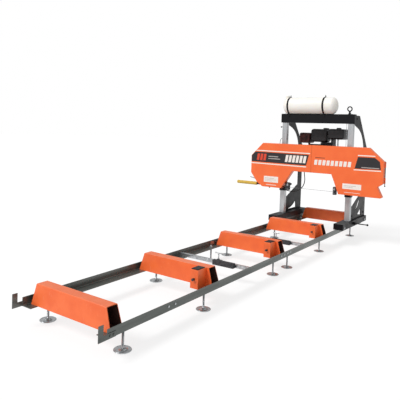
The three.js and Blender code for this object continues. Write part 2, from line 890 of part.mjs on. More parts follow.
// The side frame joins the base's rear to the top beam behind the guide post
function sideFrame(withSlot) {
  const root = sleeveOuter + runningGap;
  const rear = root + frameDepth;
  const column = rear - frameColumn;
  const low = baseTop + gap;
  const beamRear = beamDepth / 2 + gap;
  const shape = new THREE.Shape();
  shape.moveTo(root, low);
  shape.lineTo(rear, low);
  shape.lineTo(rear, frameKnee);
  shape.lineTo(beamRear + frameTopDepth, frameTop);
  shape.lineTo(beamRear, frameTop);
  shape.lineTo(beamRear, beamBottom - gap);
  shape.lineTo(root + windowNose, windowHigh);
  shape.bezierCurveTo(column - windowNose, windowHigh - windowNose / 2, column - windowNose / 3,
    (windowHigh + windowShoulder) / 2, column, windowShoulder);
  shape.lineTo(column, armHipHeight);
  shape.quadraticCurveTo(root + frameDepth / 3, (armRootHeight + armHipHeight) / 2 - frameSheet,
    root, armRootHeight);
  const pierce = new THREE.Path();
  pierce.moveTo(root + frameDepth * slotShares.low[0], low + slotRise);
  pierce.lineTo(root + frameDepth * slotShares.low[1], low + slotRise);
  pierce.quadraticCurveTo(root + frameDepth * slotShares.low[1], low + slotRise + slotHeight / 2,
    root + frameDepth * slotShares.peak, low + slotRise + slotHeight);
  pierce.quadraticCurveTo(root + frameDepth * slotShares.bend, low + 2 * slotRise,
    root + frameDepth * slotShares.low[0], low + slotRise);
  shape.holes.push(pierce);
  if (withSlot) shape.holes.push(upperSlot(root, low));
  const plate = plateX(shape, framePlace, framePlace + frameSheet);
  const face = framePlace + frameSheet;
  const boltPlaces = [
    [beamRear + frameTopDepth / 2, frameTop - frameColumn / 3],
    [root + windowNose / 2, baseTop + windowNose / 2],
    [rear - frameColumn / 2, baseTop + windowNose / 2],
  ];
  const bolts = boltPlaces.map(([y, z]) => (
    barX(frameBoltRadius, face - bite, face + frameBoltReach, y, z, 6)));
  return fuse([plate, ...bolts]);
}

function upperSlot(root, low) {
  const x0 = root + frameDepth * upperSlotShares.start;
  const x1 = root + frameDepth * upperSlotShares.end;
  const slot = new THREE.Path();
  slot.moveTo(x0, low + upperSlotLow);
  slot.quadraticCurveTo((x0 + x1) / 2 + upperSlotWidth, low + upperSlotLow + upperSlotWidth / 2,
    x1, low + upperSlotHigh);
  slot.lineTo(x1 - upperSlotWidth, low + upperSlotHigh);
  slot.quadraticCurveTo((x0 + x1) / 2 - upperSlotWidth / 2, low + upperSlotLow + upperSlotWidth,
    x0, low + upperSlotLow);
  return slot;
}

add(carriage, 'base_beam_right', baseBeam(true), blackPaint);
add(carriage, 'base_beam_left', mirrorX(baseBeam(false)), blackPaint);
add(carriage, 'guide_post_right', guidePost(false), silverPaint);
add(carriage, 'guide_post_left', mirrorX(guidePost(true)), silverPaint);
add(carriage, 'side_frame_right', sideFrame(true), blackPaint);
add(carriage, 'side_frame_left', mirrorX(sideFrame(false)), blackPaint);

const wheelStations = [{ name: 'front', y: -wheelFront }, { name: 'rear', y: wheelRear }];
for (const { name: end, y } of wheelStations) {
  add(carriage, `track_wheel_${end}_right`, trackWheel(y), castIron);
  add(carriage, `track_wheel_${end}_left`, mirrorX(trackWheel(y)), castIron);
}

// The rope leaves the drum at its front and ends in the top beam
const windingRadius = drumRadius + gap + ropeRadius;
const windingStart = drumX - drumLength / 2 + gap + 2 * ropeRadius + ropeBend;
const ropeX = windingStart + ropeTurns * ropePitch;
const ropeY = crankSetback - windingRadius;

function topBeam() {
  const half = beamLength / 2;
  const front = -beamDepth / 2;
  const tube = block(-half, half, front, front + beamDepth, beamBottom, beamBottom + beamHeight);
  const bore = block(-half + beamSheet, half - beamSheet, front + beamSheet, front + beamDepth - beamSheet,
    beamBottom + beamSheet, beamBottom + beamHeight - beamSheet);
  const drain = barZ(drainRadius, beamBottom - overrun, beamBottom + overrun, 0, 0, 12);
  const ropeHole = barZ(ropeRadius + gap, beamBottom - overrun, beamBottom + overrun, ropeX, ropeY, 12);
  const stem = barZ(eyeStemRadius, beamTop - gap, beamTop + eyeStem, eyeOffset, 0, 12);
  const ring = new THREE.TorusGeometry(eyeRadius, eyeBarRadius, 8, 16)
    .rotateX(Math.PI / 2).translate(eyeOffset, 0, beamTop + eyeStem + eyeRadius);
  return fuse([carve(tube, [bore, drain, ropeHole]), stem, ring]);
}

add(carriage, 'top_beam', topBeam(), blackPaint);

// Water tank: a round-ended drum lying on the beam under two straps

const tankZ = beamBottom + beamHeight + gap + tankRadius;

function tankProfile(radius, half, dome) {
  const steps = 4;
  const points = [[0, -half]];
  for (let step = 1; step <= steps; step += 1) {
    const angle = (step / steps) * (Math.PI / 2);
    points.push([radius * Math.sin(angle), -half + dome * (1 - Math.cos(angle))]);
  }
  const mirrored = points.map(([r, z]) => [r, -z]).reverse();
  return [...points, ...mirrored].map(([r, z]) => new THREE.Vector2(r, z));
}

function waterTank() {
  const outer = new THREE.LatheGeometry(tankProfile(tankRadius, tankLength / 2, tankDome), 24);
  const inner = new THREE.LatheGeometry(
    tankProfile(tankRadius - tankWall, tankLength / 2 - tankWall, tankDome), 24);
  const fill = barZ(tankFillRadius, tankZ, tankZ + 2 * tankRadius, tankCapOffset, 0);
  for (const shell of [outer, inner]) shell.rotateZ(-Math.PI / 2).translate(tankOffset, 0, tankZ);
  const neck = barZ(tankNeckRadius, tankZ + tankRadius / 2, tankZ + tankRadius, tankCapOffset, 0);
  return carve(fuse([outer, neck]), [inner, fill]);
}

function tankStrap(x) {
  const inner = tankRadius + gap;
  const outer = inner + strapSheet;
  const ring = new THREE.Shape();
  ring.absarc(0, tankZ, outer, -Math.PI / 4, Math.PI * 1.25);
  ring.absarc(0, tankZ, inner, Math.PI * 1.25, -Math.PI / 4, true);
  const band = plateX(ring, x - strapWidth / 2, x + strapWidth / 2, 18);
  const bolt = barZ(strapBoltRadius, tankZ + inner + bite, tankZ + inner + strapBoltHeight, x, 0, 8);
  return fuse([band, bolt]);
}

add(carriage, 'water_tank', waterTank(), whitePlastic);
strapOffsets.forEach((x, index) => {
  add(carriage, `tank_strap_${index + 1}`, tankStrap(x), blackPaint);
});
const capLow = tankZ + tankRadius + gap;
const tankCap = barZ(tankCapRadius, capLow, capLow + tankCapHeight, tankCapOffset, 0);
add(carriage, 'tank_cap', tankCap, whitePlastic);

function lockLever() {
  const hub = barY(lockHubRadius, lockLeverPlace - lockHubHalf, lockLeverPlace + lockHubHalf,
    lockPinX, lockZ, 16);
  const end = baseOutside + lockLeverLength;
  const rod = barX(lockLeverRadius, lockPinX, end, lockLeverPlace, lockZ, 12);
  const ball = new THREE.SphereGeometry(lockBallRadius, 10, 6).translate(end, lockLeverPlace, lockZ);
  const hole = barY(lockPinRadius + gap, lockLeverPlace - overrun, lockLeverPlace + overrun,
    lockPinX, lockZ, 12);
  return carve(fuse([hub, rod, ball]), [hole]);
}

add(carriage, 'carriage_lock_lever', lockLever(), blackPaint);

// Saw head, which slides on the guide posts

const coverRear = -(coverFront - coverDepth);
const plateFront = coverRear + gap;
const plateRear = plateFront + backSheet;
const bladeFront = -coverFront + bladeSetback;
const bladeRear = bladeFront + bladeWidth;
const halfSeam = coverSeam / 2;

const leftDoorPoints = [
  [topLeft, coverTop], [coverLeft, sideTopLeft], [coverLeft, sideLowLeft], [cheekX, cheekZ],
  [lowLeft, coverBottom], [leftLobeInner, coverBottom], [throatLeft, throatTop],
  [-halfSeam, throatTop], [-halfSeam, coverTop],
];
const leftSeamEdge = 7;
const rightDoorPoints = [
  [halfSeam, coverTop], [halfSeam, throatTop], [throatRight, throatTop], [rightLobeInner, coverBottom],
  [lowRight, coverBottom], [notchTipX, notchTipZ], [notchInX, notchInZ], [coverRight, notchTopZ],
  [coverRight, sideTopRight], [topRight, coverTop],
];
const rightSeamEdge = 0;

// Hinge pins stand beside the outer edges of the doors
const pinOffset = barrelRadius - bite;
const pinY = coverRear - barrelRadius - gap;
const hinges = {
  left: { sign: -1, edge: coverLeft, low: sideLowLeft, high: sideTopLeft, pinLow: leftPinLow },
  right: { sign: 1, edge: coverRight, low: notchTopZ, high: sideTopRight, pinLow: rightPinLow },
};

function pinX(hinge) {
  return hinge.edge + hinge.sign * pinOffset;
}

// A door is a front sheet on a rim, open at its back, at the seam and where the blade runs out
function doorSheet(points) {
  return plateY(outlineShape(points), -coverFront, -coverFront + coverSheet);
}

function doorRim(points, seamEdge, hinge) {
  const walls = points.map((point, index) => (index === seamEdge ? -overrun : coverSheet));
  const front = -coverFront + coverSheet + gap;
  const band = plateY(outlineShape(points), front, coverRear);
  const hollow = plateY(outlineShape(inset(points, walls)), front - overrun, coverRear + overrun);
  const slot = block(leftLobeInner - overrun, rightLobeInner + overrun, bladeFront - runningGap,
    coverRear + overrun, bladeLow - bladeSlotMargin, bladeLow + bladeSlotMargin);
  const barrelPlaces = [hinge.low + barrelInset, hinge.high - barrelInset - barrelLength];
  const barrels = barrelPlaces.map((z) => barZ(barrelRadius, z, z + barrelLength, pinX(hinge), pinY, 12));
  const bore = barZ(pinRadius + gap, hinge.low - overrun, hinge.high + overrun, pinX(hinge), pinY, 12);
  return carve(fuse([carve(band, [hollow, slot]), ...barrels]), [bore]);
}

const bladeLow = bandWheelHeight - bandWheelRadius - bladeClearance - bladeThickness;

// The back plate carries the hinge pins, and the wheels' shafts in their housings
function backPlate() {
  const outline = [...leftDoorPoints.slice(0, leftSeamEdge), ...rightDoorPoints.slice(rightSeamEdge + 2)];
  const sheet = plateY(outlineShape(outline), plateFront, plateRear);
  const shaftHole = barY(engineShaftRadius + sleeveGap, plateFront - overrun, plateRear + overrun,
    engineX, engineShaftHeight, 16);
  const shafts = [-bandWheelSpread, bandWheelSpread].flatMap((x) => [
    barY(bandShaftRadius, hubFront - gap - bandNutHeight, plateRear, x, bandWheelHeight),
    barY(bandNutRadius, hubFront - gap - bandNutHeight, hubFront - gap, x, bandWheelHeight, 6),
    barY(bandSpacerRadius, plateFront - bandSpacerReach, plateRear, x, bandWheelHeight, 16),
    barY(bandHousingRadius, plateRear - bite, plateRear + bandHousingLength, x, bandWheelHeight),
  ]);
  const hingeParts = Object.values(hinges).flatMap((hinge) => {
    const x = pinX(hinge);
    const lugPlaces = [hinge.low + lugInset, hinge.high - lugInset - lugHeight];
    const lugs = lugPlaces.flatMap((z) => {
      const inside = hinge.edge - hinge.sign * overrun;
      const outside = x + hinge.sign * lugRadius;
      return [
        barZ(lugRadius, z, z + lugHeight, x, pinY, boltSides),
        block(x - lugRadius, x + lugRadius, pinY, plateRear, z, z + lugHeight),
        block(Math.min(inside, outside), Math.max(inside, outside), plateFront, plateRear, z, z + lugHeight),
      ];
    });
    const pin = barZ(pinRadius, hinge.pinLow, hinge.high + lugInset, x, pinY, boltSides);
    const knob = barZ(pinKnobRadius, hinge.pinLow, hinge.pinLow + pinKnobHeight, x, pinY, 12);
    return [...lugs, pin, knob];
  });
  return fuse([carve(sheet, [shaftHole]), ...shafts, ...hingeParts]);
}

// Band wheels, blade and belt
const rimFront = bladeFront + (bladeWidth - bandWheelWidth) / 2;
const rimRear = rimFront + bandWheelWidth;
const webMiddle = (rimFront + rimRear) / 2;
const hubFront = rimFront - bandHubReach;
const beltY = -coverFront + beltSetback;
const pulleyHalf = beltWidth / 2 + pulleyCheek;
const hubRear = beltY + pulleyHalf;

function pulleySection(radius) {
  const lip = radius + beltThickness / 2;
  const groove = radius - beltThickness / 2 - gap;
  const half = beltWidth / 2;
  return [
    [lip, beltY - pulleyHalf], [lip, beltY - half], [groove, beltY - half], [groove, beltY + half],
    [lip, beltY + half], [lip, hubRear],
  ];
}

function bandWheel(x, hasPulley) {
  const bore = bandShaftRadius + gap;
  const rimInner = bandWheelRadius - bandRim;
  const webFront = webMiddle - bandWeb / 2;
  const webRear = webMiddle + bandWeb / 2;
  const pulley = hasPulley
    ? [[bandHubRadius, beltY - pulleyHalf], ...pulleySection(drivenPulleyRadius)]
    : [[bandHubRadius, hubRear]];
  const wheel = turned([
    [bore, hubFront], [bandHubRadius, hubFront], [bandHubRadius, webFront], [rimInner, webFront],
    [rimInner, rimFront], [bandWheelRadius, rimFront], [bandWheelRadius, rimRear], [rimInner, rimRear],
    [rimInner, webRear], [bandHubRadius, webRear], ...pulley, [bore, hubRear],
  ], loopSteps);
  const holes = Array.from({ length: bandHoleCount }, (_, index) => {
    const angle = (index / bandHoleCount) * 2 * Math.PI;
    return barY(bandHoleRadius, rimFront, rimRear, bandHoleCircle * Math.cos(angle),
      bandHoleCircle * Math.sin(angle), boltSides);
  });
  return carve(wheel, holes).translate(x, 0, bandWheelHeight);
}

// A loop round two circles, as an outline in X and Z
function loopOutline(a, b, offset) {
  const along = Math.atan2(b.z - a.z, b.x - a.x);
  const distance = Math.hypot(b.x - a.x, b.z - a.z);
  const lean = Math.acos((a.radius - b.radius) / distance);
  const arc = (circle, start, end) => Array.from({ length: loopSteps + 1 }, (_, step) => {
    const angle = start + (end - start) * (step / loopSteps);
    const reach = circle.radius + offset;
    return [circle.x + reach * Math.cos(angle), circle.z + reach * Math.sin(angle)];
  });
  return [
    ...arc(b, along - lean, along + lean),
    ...arc(a, along + lean, along - lean + 2 * Math.PI),
  ];
}

function loopBand(a, b, inside, outside, y0, y1) {
  const shape = outlineShape(loopOutline(a, b, outside));
  shape.holes.push(new THREE.Path(outlineShape(loopOutline(a, b, inside)).getPoints()));
  return plateY(shape, y0, y1);
}

const driveCentre = { x: bandWheelSpread, z: bandWheelHeight, radius: bandWheelRadius };
const idleCentre = { x: -bandWheelSpread, z: bandWheelHeight, radius: bandWheelRadius };
const drivenPulley = { x: bandWheelSpread, z: bandWheelHeight, radius: drivenPulleyRadius };
const enginePulley = { x: engineX, z: engineShaftHeight, radius: enginePulleyRadius };

function enginePulleyShaft() {
  const pulley = turned([
    [0, beltY - pulleyHalf], ...pulleySection(enginePulleyRadius), [0, hubRear],
  ], 20).translate(engineX, 0, engineShaftHeight);
  const shaft = barY(engineShaftRadius, beltY - pulleyHalf - bite, engineFront + engineBoreDepth - runningGap,
    engineX, engineShaftHeight);
  return fuse([pulley, shaft]);
}

add(head, 'door_left', doorSheet(leftDoorPoints), orangePaint);
add(head, 'door_right', doorSheet(rightDoorPoints), orangePaint);
add(head, 'door_rim_left', doorRim(leftDoorPoints, leftSeamEdge, hinges.left), orangePaint);
add(head, 'door_rim_right', doorRim(rightDoorPoints, rightSeamEdge, hinges.right), orangePaint);
add(head, 'back_plate', backPlate(), orangePaint);
add(head, 'drive_wheel', bandWheel(bandWheelSpread, true), castIron);
add(head, 'idle_wheel', bandWheel(-bandWheelSpread, false), castIron);
add(head, 'blade', loopBand(idleCentre, driveCentre, bladeClearance,
  bladeClearance + bladeThickness, bladeFront, bladeRear), bladeSteel);
add(head, 'drive_belt', loopBand(enginePulley, drivenPulley, -beltThickness / 2, beltThickness / 2,
  beltY - beltWidth / 2 + gap, beltY + beltWidth / 2 - gap), blackRubber);
add(head, 'engine_pulley', enginePulleyShaft(), castIron);

// Head frame: a sleeve on each guide post, two cross channels open at the back, and the engine plate
const sleeveX = postX + sleeveOuter;
const tubeEnd = postX - sleeveInner;
const engineBase = enginePlateHeight + enginePlateSheet + gap;

function crossChannel(z) {
  const half = crossTubeSize / 2;
  const inner = half - crossTubeSheet;
  const bar = block(-tubeEnd, tubeEnd, -half, half, z - half, z + half);
  const hollow = block(-tubeEnd + sleeveWall + crossTubeSheet, tubeEnd - sleeveWall - crossTubeSheet,
    -inner, half + overrun, z - inner, z + inner);
  return carve(bar, [hollow]);
}

function headFrame() {
  const outerBlocks = [-postX, postX].map((x) => (
    block(x - sleeveOuter, x + sleeveOuter, -sleeveOuter, sleeveOuter, sleeveLow, sleeveHigh)));
  const bores = [-postX, postX].map((x) => (
    block(x - sleeveInner, x + sleeveInner, -sleeveInner, sleeveInner, sleeveLow - overrun,
      sleeveHigh + overrun)));
  const spacers = [-postX, postX].flatMap((x) => [lowSpacer, highSpacer].map((z) => (
    block(x - spacerHalf, x + spacerHalf, plateRear + gap, -sleeveOuter + bite, z, z + spacerHeight))));
  const plate = block(plateLeft, plateRight, -crossTubeSize / 2, plateDepth, enginePlateHeight - bite,
    enginePlateHeight + enginePlateSheet);
  const gusset = outlineShape([
    [crossTubeSize / 2 - crossTubeSheet, enginePlateHeight - gussetDrop / 2],
    [crossTubeSize / 2, enginePlateHeight - gussetDrop], [plateDepth - gussetInset, enginePlateHeight],
    [crossTubeSize / 2 - crossTubeSheet, enginePlateHeight],
  ]);
  const gussets = [plateLeft + gussetInset, plateRight - gussetInset].map((x) => (
    plateX(gusset, x - enginePlateSheet / 2, x + enginePlateSheet / 2)));
  const armHole = guideArmSize / 2 + gap;
  const armBlock = armHole + guideBracketWall;
  const armBracket = block(-postX - guideBracketWidth / 2, -postX + guideBracketWidth / 2,
    -guideArmSetback - armBlock, -sleeveOuter + bite, guideArmHeight - armBlock, guideArmHeight + armBlock);
  const armBore = block(-sleeveX - overrun, -tubeEnd + overrun, -guideArmSetback - armHole,
    -guideArmSetback + armHole, guideArmHeight - armHole, guideArmHeight + armHole);
  const crankLug = block(postX - crankLugHalf, postX, sleeveOuter - bite,
    crankSetback + crankLugHalf, crankHeight - crankLugHalf, crankHeight + crankLugHalf);
  const crankBore = barX(crankShaftRadius + gap, tubeEnd, sleeveX, crankSetback, crankHeight, 16);
  const tensionBlock = block(-tensionBlockEnd, -sleeveX + bite, -tensionSetback - tensionBlockHalf,
    -tensionSetback + tensionBlockHalf, tensionHeight - tensionBlockHalf, tensionHeight + tensionBlockHalf);
  const tensionBore = barX(tensionScrewRadius + gap, -tensionBlockEnd - overrun, -tensionStart + runningGap,
    -tensionSetback, tensionHeight, 16);
  const channels = [lowTubeHeight, enginePlateHeight - crossTubeSize / 2].map(crossChannel);
  const solid = fuse([...outerBlocks, ...channels, ...spacers, plate, ...gussets, armBracket, crankLug,
    tensionBlock]);
  return carve(solid, [...bores, armBore, crankBore, tensionBore]);
}

add(head, 'head_frame', headFrame(), blackPaint);

// Engine, with its shaft pointing forward
function engineBlock() {
  const half = engineWidth / 2;
  const top = engineBase + crankcaseHeight;
  const rear = engineFront + engineDepth;
  const cylinderTop = airBottom - gap;
  const crankcase = block(engineX - half, engineX + half, engineFront, rear, engineBase, top);
  const cylinder = block(engineX - cylinderWidth / 2, engineX + cylinderWidth / 2,
    engineFront + cylinderInset, rear - cylinderInset, top - bite, cylinderTop);
  const pitch = (cylinderTop - top) / finCount;
  const fins = Array.from({ length: finCount }, (_, index) => {
    const z = top + pitch * (index + 1 / 2);
    return block(engineX - cylinderWidth / 2 - finReach, engineX + cylinderWidth / 2 + finReach,
      engineFront + cylinderInset - finReach, rear - cylinderInset + finReach, z - finSheet / 2,
      z + finSheet / 2);
  });
  const post = block(engineX + half - fuelPostWidth, engineX + half, engineFront + cylinderInset,
    rear - cylinderInset, top - bite, fuelBottom - gap);
  const recoil = barY(recoilRadius, rear - bite, rear + recoilDepth, engineX, engineShaftHeight, 28);
  const gripY = rear + recoilDepth - recoilGripRadius;
  const gripStart = engineX + recoilRadius - overrun;
  const grip = barX(recoilGripRadius, gripStart, gripStart + overrun + recoilGripLength, gripY,
    engineShaftHeight);
  const bore = barY(engineShaftRadius + 2 * gap, engineFront - overrun, engineFront + engineBoreDepth,
    engineX, engineShaftHeight);
  return carve(fuse([crankcase, cylinder, ...fins, post, recoil, grip]), [bore]);
}

function roundedBox(width, depth, height, x, front, low, round) {
  return plateY(roundedRect(x - width / 2, x + width / 2, low, low + height, round), front, front + depth, 5);
}

function fuelTank() {
  const x = engineX + fuelOffset;
  const front = engineFront - cylinderInset;
  const tank = roundedBox(fuelWidth, fuelDepth, fuelHeight, x, front, fuelBottom, fuelRound);
  const top = fuelBottom + fuelHeight;
  return fuse([tank, barZ(fuelCapRadius, top - bite, top + fuelCapHeight, x, front + fuelDepth / 2)]);
}

function airCleaner() {
  const middle = engineX + airOffset;
  const box = roundedBox(airWidth, airDepth, airHeight, middle, engineFront, airBottom, airRound);
  const x = middle + airKnobOffset;
  const top = airBottom + airHeight;
  const knob = block(x - airKnobWidth / 2, x + airKnobWidth / 2, engineFront + airRound,
    engineFront + airDepth - airRound, top - bite, top + airKnobHeight);
  return fuse([box, knob]);
}

function muffler() {
  const box = roundedBox(mufflerWidth, mufflerDepth, mufflerHeight, engineX + mufflerOffset, engineFront,
    mufflerBottom, mufflerRound);
  const end = engineX - cylinderWidth / 2 - finReach - gap;
  const down = barZ(exhaustRadius, exhaustZ, mufflerBottom + mufflerRound, exhaustX, exhaustY, 12);
  const bend = new THREE.SphereGeometry(exhaustRadius, 12, 8).translate(exhaustX, exhaustY, exhaustZ);
  const hollow = roundedBox(mufflerWidth - 2 * mufflerSheet, mufflerDepth - 2 * mufflerSheet,
    mufflerHeight - 2 * mufflerSheet, engineX + mufflerOffset, engineFront + mufflerSheet,
    mufflerBottom + mufflerSheet, mufflerRound - mufflerSheet);
  const left = engineX + mufflerOffset - mufflerWidth / 2;
  const outletZ = mufflerBottom + mufflerHeight / 2;
  const outlet = barX(outletRadius, left - overrun, left + overrun, exhaustY, outletZ);
  const shell = carve(box, [hollow, outlet]);
  return fuse([shell, down, bend, barX(exhaustRadius, exhaustX, end, exhaustY, exhaustZ, 12)]);
}

add(head, 'engine_block', engineBlock(), engineMetal);
add(head, 'fuel_tank', fuelTank(), blackPlastic);
add(head, 'air_cleaner', airCleaner(), blackPlastic);
add(head, 'muffler', muffler(), mufflerSteel);

// Blade guides: a block over and under the blade, with a slot, and a bar that holds it from behind
function bladeGuide(x, armStart, armEnd) {
  const half = guideBlockWidth / 2;
  const body = block(x - half, x + half, -guideFront, -guideRear, guideLow, guideHigh);
  const halfArm = guideArmSize / 2;
  const neck = block(x - half, x + half, -guideRear - bite, -guideArmSetback + halfArm,
    guideArmHeight - halfArm, guideArmHeight + halfArm);
  const bar = block(armStart, armEnd, -guideArmSetback - halfArm, -guideArmSetback + halfArm,
    guideArmHeight - halfArm, guideArmHeight + halfArm);
  const roller = barY(guideRollerRadius, -guideFront - guideRollerReach, -guideFront + bite, x,
    (bladeLow + guideHigh) / 2, 14);
  const slot = block(x - guideBlockWidth, x + guideBlockWidth, -guideFront - overrun, bladeRear + runningGap,
    bladeLow - guideSlot, bladeLow + bladeThickness + guideSlot);
  return carve(fuse([body, neck, bar, roller]), [slot]);
}

const armInner = leftGuideX + guideBlockWidth / 2;
add(head, 'blade_guide_arm', bladeGuide(leftGuideX, armInner - guideArmLength, armInner), castIron);

// The fixed guide's bar ends in a flange bolted to the right sleeve
function fixedGuide() {
  const halfArm = guideArmSize / 2;
  const guide = bladeGuide(rightGuideX, rightGuideX - guideBlockWidth / 2, postX + halfArm);
  const flange = block(postX - halfArm, postX + halfArm, -guideArmSetback, -sleeveOuter - gap,
    guideArmHeight - guideArmSize, guideArmHeight + guideArmSize);
  return fuse([guide, flange]);
}

add(head, 'blade_guide_fixed', fixedGuide(), castIron);

// Push handle, with the throttle lever in a fork beside its grip
const gripEnd = -handleReach + gripWall;

function pushHandle() {
  const root = -sleeveX - gap;
  const bar = barX(handleRadius, gripEnd + gap, root, -handleSetback, handleHeight);
  const flange = barX(rootFlangeRadius, root - rootFlangeLength, root, -handleSetback, handleHeight);
  const inner = throttleSheet / 2 + gap;
  const cheeks = [-1, 1].map((sign) => {
    const near = -handleSetback + sign * inner;
    const far = near + sign * forkSheet;
    return block(throttleX - forkWidth / 2, throttleX + forkWidth / 2, Math.min(near, far),
      Math.max(near, far), handleHeight, forkTop);
  });
  const pin = barY(throttlePinRadius, -handleSetback - inner - bite, -handleSetback + inner + bite,
    throttleX, throttleZ, 12);
  return fuse([bar, flange, ...cheeks, pin]);
}

function handleGrip() {
  const sleeve = barX(gripRadius, -handleReach, -handleReach + gripLength, -handleSetback, handleHeight, 24);
  const bore = barX(handleRadius + gap, gripEnd, 0, -handleSetback, handleHeight);
  return carve(sleeve, [bore]);
}

function throttleLever() {
  const front = -handleSetback - throttleSheet / 2;
  const rear = front + throttleSheet;
  const tip = throttleX - throttleLength;
  const arm = outlineShape([
    [throttleX, throttleZ - throttleHub / 2], [throttleX, throttleZ + throttleHub],
    [tip, throttleZ + throttleRise + throttleHub / 2], [tip, throttleZ + throttleRise - throttleHub / 2],
  ]);
  const hub = barY(throttleHub, front, rear, throttleX, throttleZ, 16);
  const hole = barY(throttlePinRadius + gap, front - overrun, rear + overrun, throttleX, throttleZ, 12);
  return carve(fuse([plateY(arm, front, rear), hub]), [hole]);
}

add(head, 'push_handle', pushHandle(), blackPaint);
add(head, 'handle_grip', handleGrip(), yellowGrip);
add(head, 'throttle_lever', throttleLever(), zincSteel);

function tensionHandle() {
  const screw = barX(tensionScrewRadius, -tensionReach, -tensionStart, -tensionSetback, tensionHeight, 16);
  const bar = barZ(tensionBarRadius, tensionHeight - tensionBarHalf, tensionHeight + tensionBarHalf,
    -tensionReach, -tensionSetback, 14);
  return fuse([screw, bar]);
}

add(head, 'tension_handle', tensionHandle(), zincSteel);

// The crank turns the drum that the lift rope winds on
function liftCrank() {
  const drumStart = drumX - drumLength / 2;
  const drumEnd = drumX + drumLength / 2;
  const armZ = crankHeight - crankThrow;
  const halfArm = crankArmWidth / 2;
  return fuse([
    barX(drumRadius, drumStart - bite, drumEnd + bite, crankSetback, crankHeight, loopSteps),
    barX(drumCheekRadius, drumStart - drumCheek, drumStart, crankSetback, crankHeight, loopSteps),
    barX(drumCheekRadius, drumEnd, drumEnd + drumCheek, crankSetback, crankHeight, loopSteps),
    barX(crankShaftRadius, drumStart, crankArmX + crankArmSheet, crankSetback, crankHeight),
    block(crankArmX, crankArmX + crankArmSheet, crankSetback - halfArm, crankSetback + halfArm,
      armZ - halfArm, crankHeight + halfArm),
    barX(crankKnobRadius, crankArmX, crankArmX + crankArmSheet + crankKnobLength, crankSetback, armZ, 16),
  ]);
}

add(head, 'lift_crank', liftCrank(), blackPaint);

// The wound rope: it leaves the cheek squarely, takes its turns, and ends upright at the drum's front
function ropePoints() {
  const cheek = drumX - drumLength / 2 + gap;
  const straight = 2 * ropeRadius;
  const bendZ = crankHeight - windingRadius;
  const points = [
    [cheek, crankSetback + ropeBend, bendZ], [cheek + straight, crankSetback + ropeBend, bendZ],
    [cheek + straight + ropeBend / 2, crankSetback + ropeBend * ropeEaseShare, bendZ],
  ];
  const count = ropeTurns * loopSteps;
  for (let step = -loopSteps / 4 + 1; step <= count; step += 1) {
    const angle = (step / loopSteps) * 2 * Math.PI;
    const x = windingStart + (step / loopSteps) * ropePitch;
    points.push([x, crankSetback - windingRadius * Math.cos(angle),
      crankHeight + windingRadius * Math.sin(angle)]);
  }
  points.push([ropeX, ropeY, crankHeight + straight]);
  return points;
}

const wound = ropePoints();

// The least gap between parts of a cord that are more than three diameters apart along it
function leastGap(points, radius) {
  const path = new THREE.CatmullRomCurve3(points.map((point) => new THREE.Vector3(...point)));
  const samples = path.getSpacedPoints(points.length * 4);
  const step = path.getLength() / (samples.length - 1);
  const skip = Math.ceil((6 * radius) / step);
  let least = Infinity;
  samples.forEach((a, i) => {
    for (let j = i + skip; j < samples.length; j += 1) least = Math.min(least, a.distanceTo(samples[j]));
  });
  return least - 2 * radius;
}

console.log(`wound rope: least gap to itself ${leastGap(wound, ropeRadius).toFixed(2)} mm`);
add(head, 'drum_rope', cord(wound, ropeRadius, ropeSides, wound.length - 1), zincSteel);
const ropeStart = crankHeight + 2 * ropeRadius + gap;
add(head, 'lift_rope', barZ(ropeRadius, ropeStart, beamBottom + ropeSocket, ropeX, ropeY, 12), zincSteel);

// The water hose hangs in a loop between the low channel and the guide arm's bracket
const hoseTop = lowTubeHeight - crossTubeSize / 2 - gap;
const hoseEnd = guideArmHeight - guideArmSize / 2 - 2 * gap - guideBracketWall;
const hosePoints = [
  [-165, -15, hoseTop], [-165, -15, hoseTop - cordLead], [-152, -28, 880], [-142, -34, 810], [-158, -40, 730],
  [-210, -48, 664], [-285, -58, 634], [-370, -66, 632], [-440, -70, 652], [-480, -71, 690],
  [-486, -71, hoseEnd - cordLead], [-486, -71, hoseEnd],
];
add(head, 'water_hose', cord(hosePoints, hoseRadius, cordSides, hoseSteps), blackRubber);

// The throttle cable runs behind the left door, rises beside the post and comes down to the engine
const cableStart = -handleSetback + throttleSheet / 2 + 2 * gap + forkSheet;
const cablePoints = [
  [throttleX, cableStart, 724], [throttleX, cableStart + cordLead, 724], [-880, 20, 740], [-845, 62, 820],
  [-780, 84, 960], [-690, 92, 1120], [-618, 90, 1260], [-586, 84, 1350], [-571, 82, 1392],
  [-556, 86, 1396], [-546, 92, 1360], [-524, 98, 1300], [-460, 112, 1252], [-340, 150, engineShaftHeight],
  [-180, 186, engineShaftHeight], [-60, 198, engineShaftHeight],
  [engineX - engineWidth / 2 - gap - cordLead, 200, engineShaftHeight],
  [engineX - engineWidth / 2 - gap, 200, engineShaftHeight],
];
add(head, 'throttle_cable', cord(cablePoints, cableRadius, ropeSides, cableSteps), blackRubber);

// The origin is in the middle of the whole sawmill, between the grip's end and the right hinge pin's knob
const rightReach = coverRight + pinOffset + pinKnobRadius;
sawmill.position.x = (handleReach - rightReach) / 2;

export default sawmill;
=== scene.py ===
import json
import math

import bmesh
import bpy
from mathutils import Matrix, Vector

